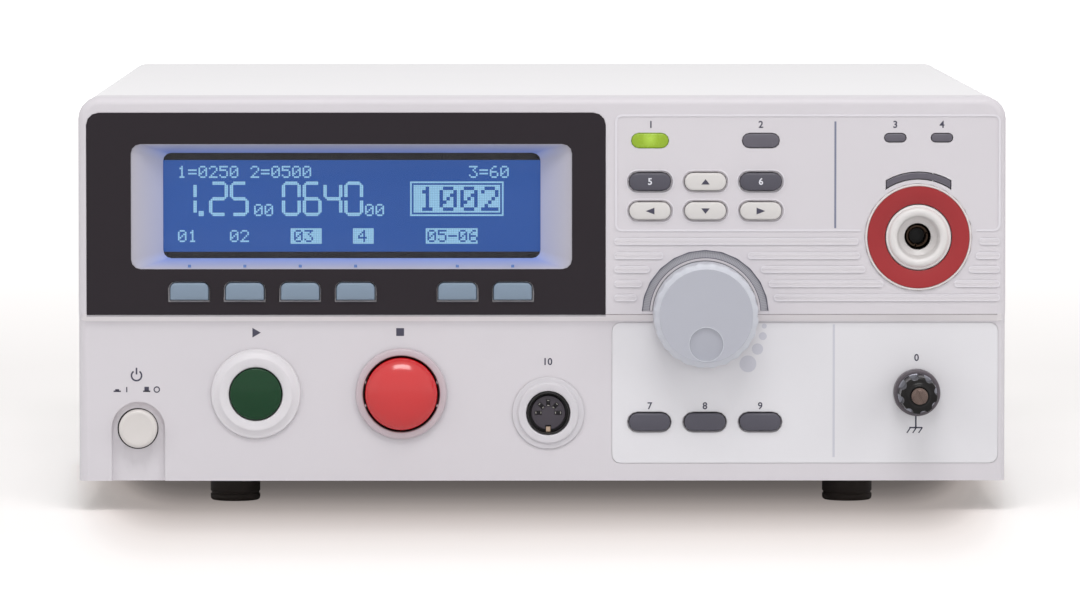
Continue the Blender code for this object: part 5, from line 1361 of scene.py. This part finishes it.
bmesh.ops.transform(bm, matrix=to_fan, verts=bm.verts[:])
add_piece("wire_guard", bm, screw_steel, "nickel", stands_for=["fan_guard"], smooth=40)
fan_hole = 0.0350
offsets = [(x, z) for x in (-fan_hole, fan_hole) for z in (-fan_hole, fan_hole)]
places = [(fan_centre.x + x, rear_y + 0.0018, fan_centre.z + z) for x, z in offsets]
screws = repeated(pan_head(0.0034, 0.0021), places, to_rear)
add_piece("fan_screws", screws, screw_steel, "nickel", smooth=30)

inlet_low, inlet_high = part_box("mains_inlet")
inlet_x = (inlet_low.x + inlet_high.x) / 2
bm = bmesh.new()
blade_half = Vector((0.00103, 0, 0.00203))
for x, z in ((-0.0070, 0.0590), (0.0070, 0.0590), (0.0, 0.0630)):
    low = Vector((inlet_x + x, rear_y - 0.0127, z)) - blade_half
    add_tablet(bm, low, Vector((inlet_x + x, rear_y + 0.00035, z)) + blade_half, 0.0002)
add_piece("mains_blades", bm, nickel, "nickel", softened=0.0002)
port_low, port_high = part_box("signal_port")
port_centre = (port_low + port_high) / 2
bm = from_solid("signal_port")
add_piece("port_shell", bm, screw_steel, "nickel", stands_for=["signal_port"], softened=0.00015)
bm = bmesh.new()
low = (port_centre.x - 0.0066, port_high.y - 0.0008, port_centre.z - 0.0030)
high = (port_centre.x + 0.0066, port_high.y - 0.00015, port_centre.z + 0.0030)
add_tablet(bm, low, high, 0.0008)
holes = bmesh.new()
for row, count in ((0.0014, 5), (-0.0014, 4)):
    for number in range(count):
        x = port_centre.x + 0.00275 * (number - (count - 1) / 2)
        matrix = Matrix.Translation((x, port_high.y, port_centre.z + row)) @ to_rear
        bmesh.ops.create_cone(
            holes, cap_ends=True, segments=12, radius1=0.0005, radius2=0.0005, depth=0.001, matrix=matrix,
        )
bm = carved(bm, holes)
add_piece("port_insert", bm, inlet_plastic, "black_plastic")
profile = [(0.0014, 0.0047), (0.0024, 0.0045), (0.0026, 0.0039)]
profile += [(0.0026, 0.0), (0.0014, 0.0), (0.0014, 0.0047)]
places = [(port_centre.x + x, rear_y + 0.0011, port_centre.z) for x in (-0.0125, 0.0125)]
add_piece("port_posts", repeated(lathe(profile, steps=6), places, to_rear), nickel, "nickel", smooth=20)

# What is inside shows only through the vents and the fan. The boards are green laminate
# with tinned tracks, the transformer is varnished and the rest is plated.
laminate = plastic("green_laminate", (30, 84, 54), 0.40, grain=700.0, depth=0.5, spread=0.25)
varnished = plastic("varnished_core", (96, 84, 70), 0.45, grain=420.0, depth=0.6, spread=0.10)
for material, names in (
    (laminate, ("main_board", "key_board")), (varnished, ("hv_transformer",)),
    (zinc, ("display_module", "encoder")), (nickel, ("encoder_shaft",)), (inlet_plastic, ("power_switch",)),
):
    for node in names:
        nodes[node].material_slots[0].material = material
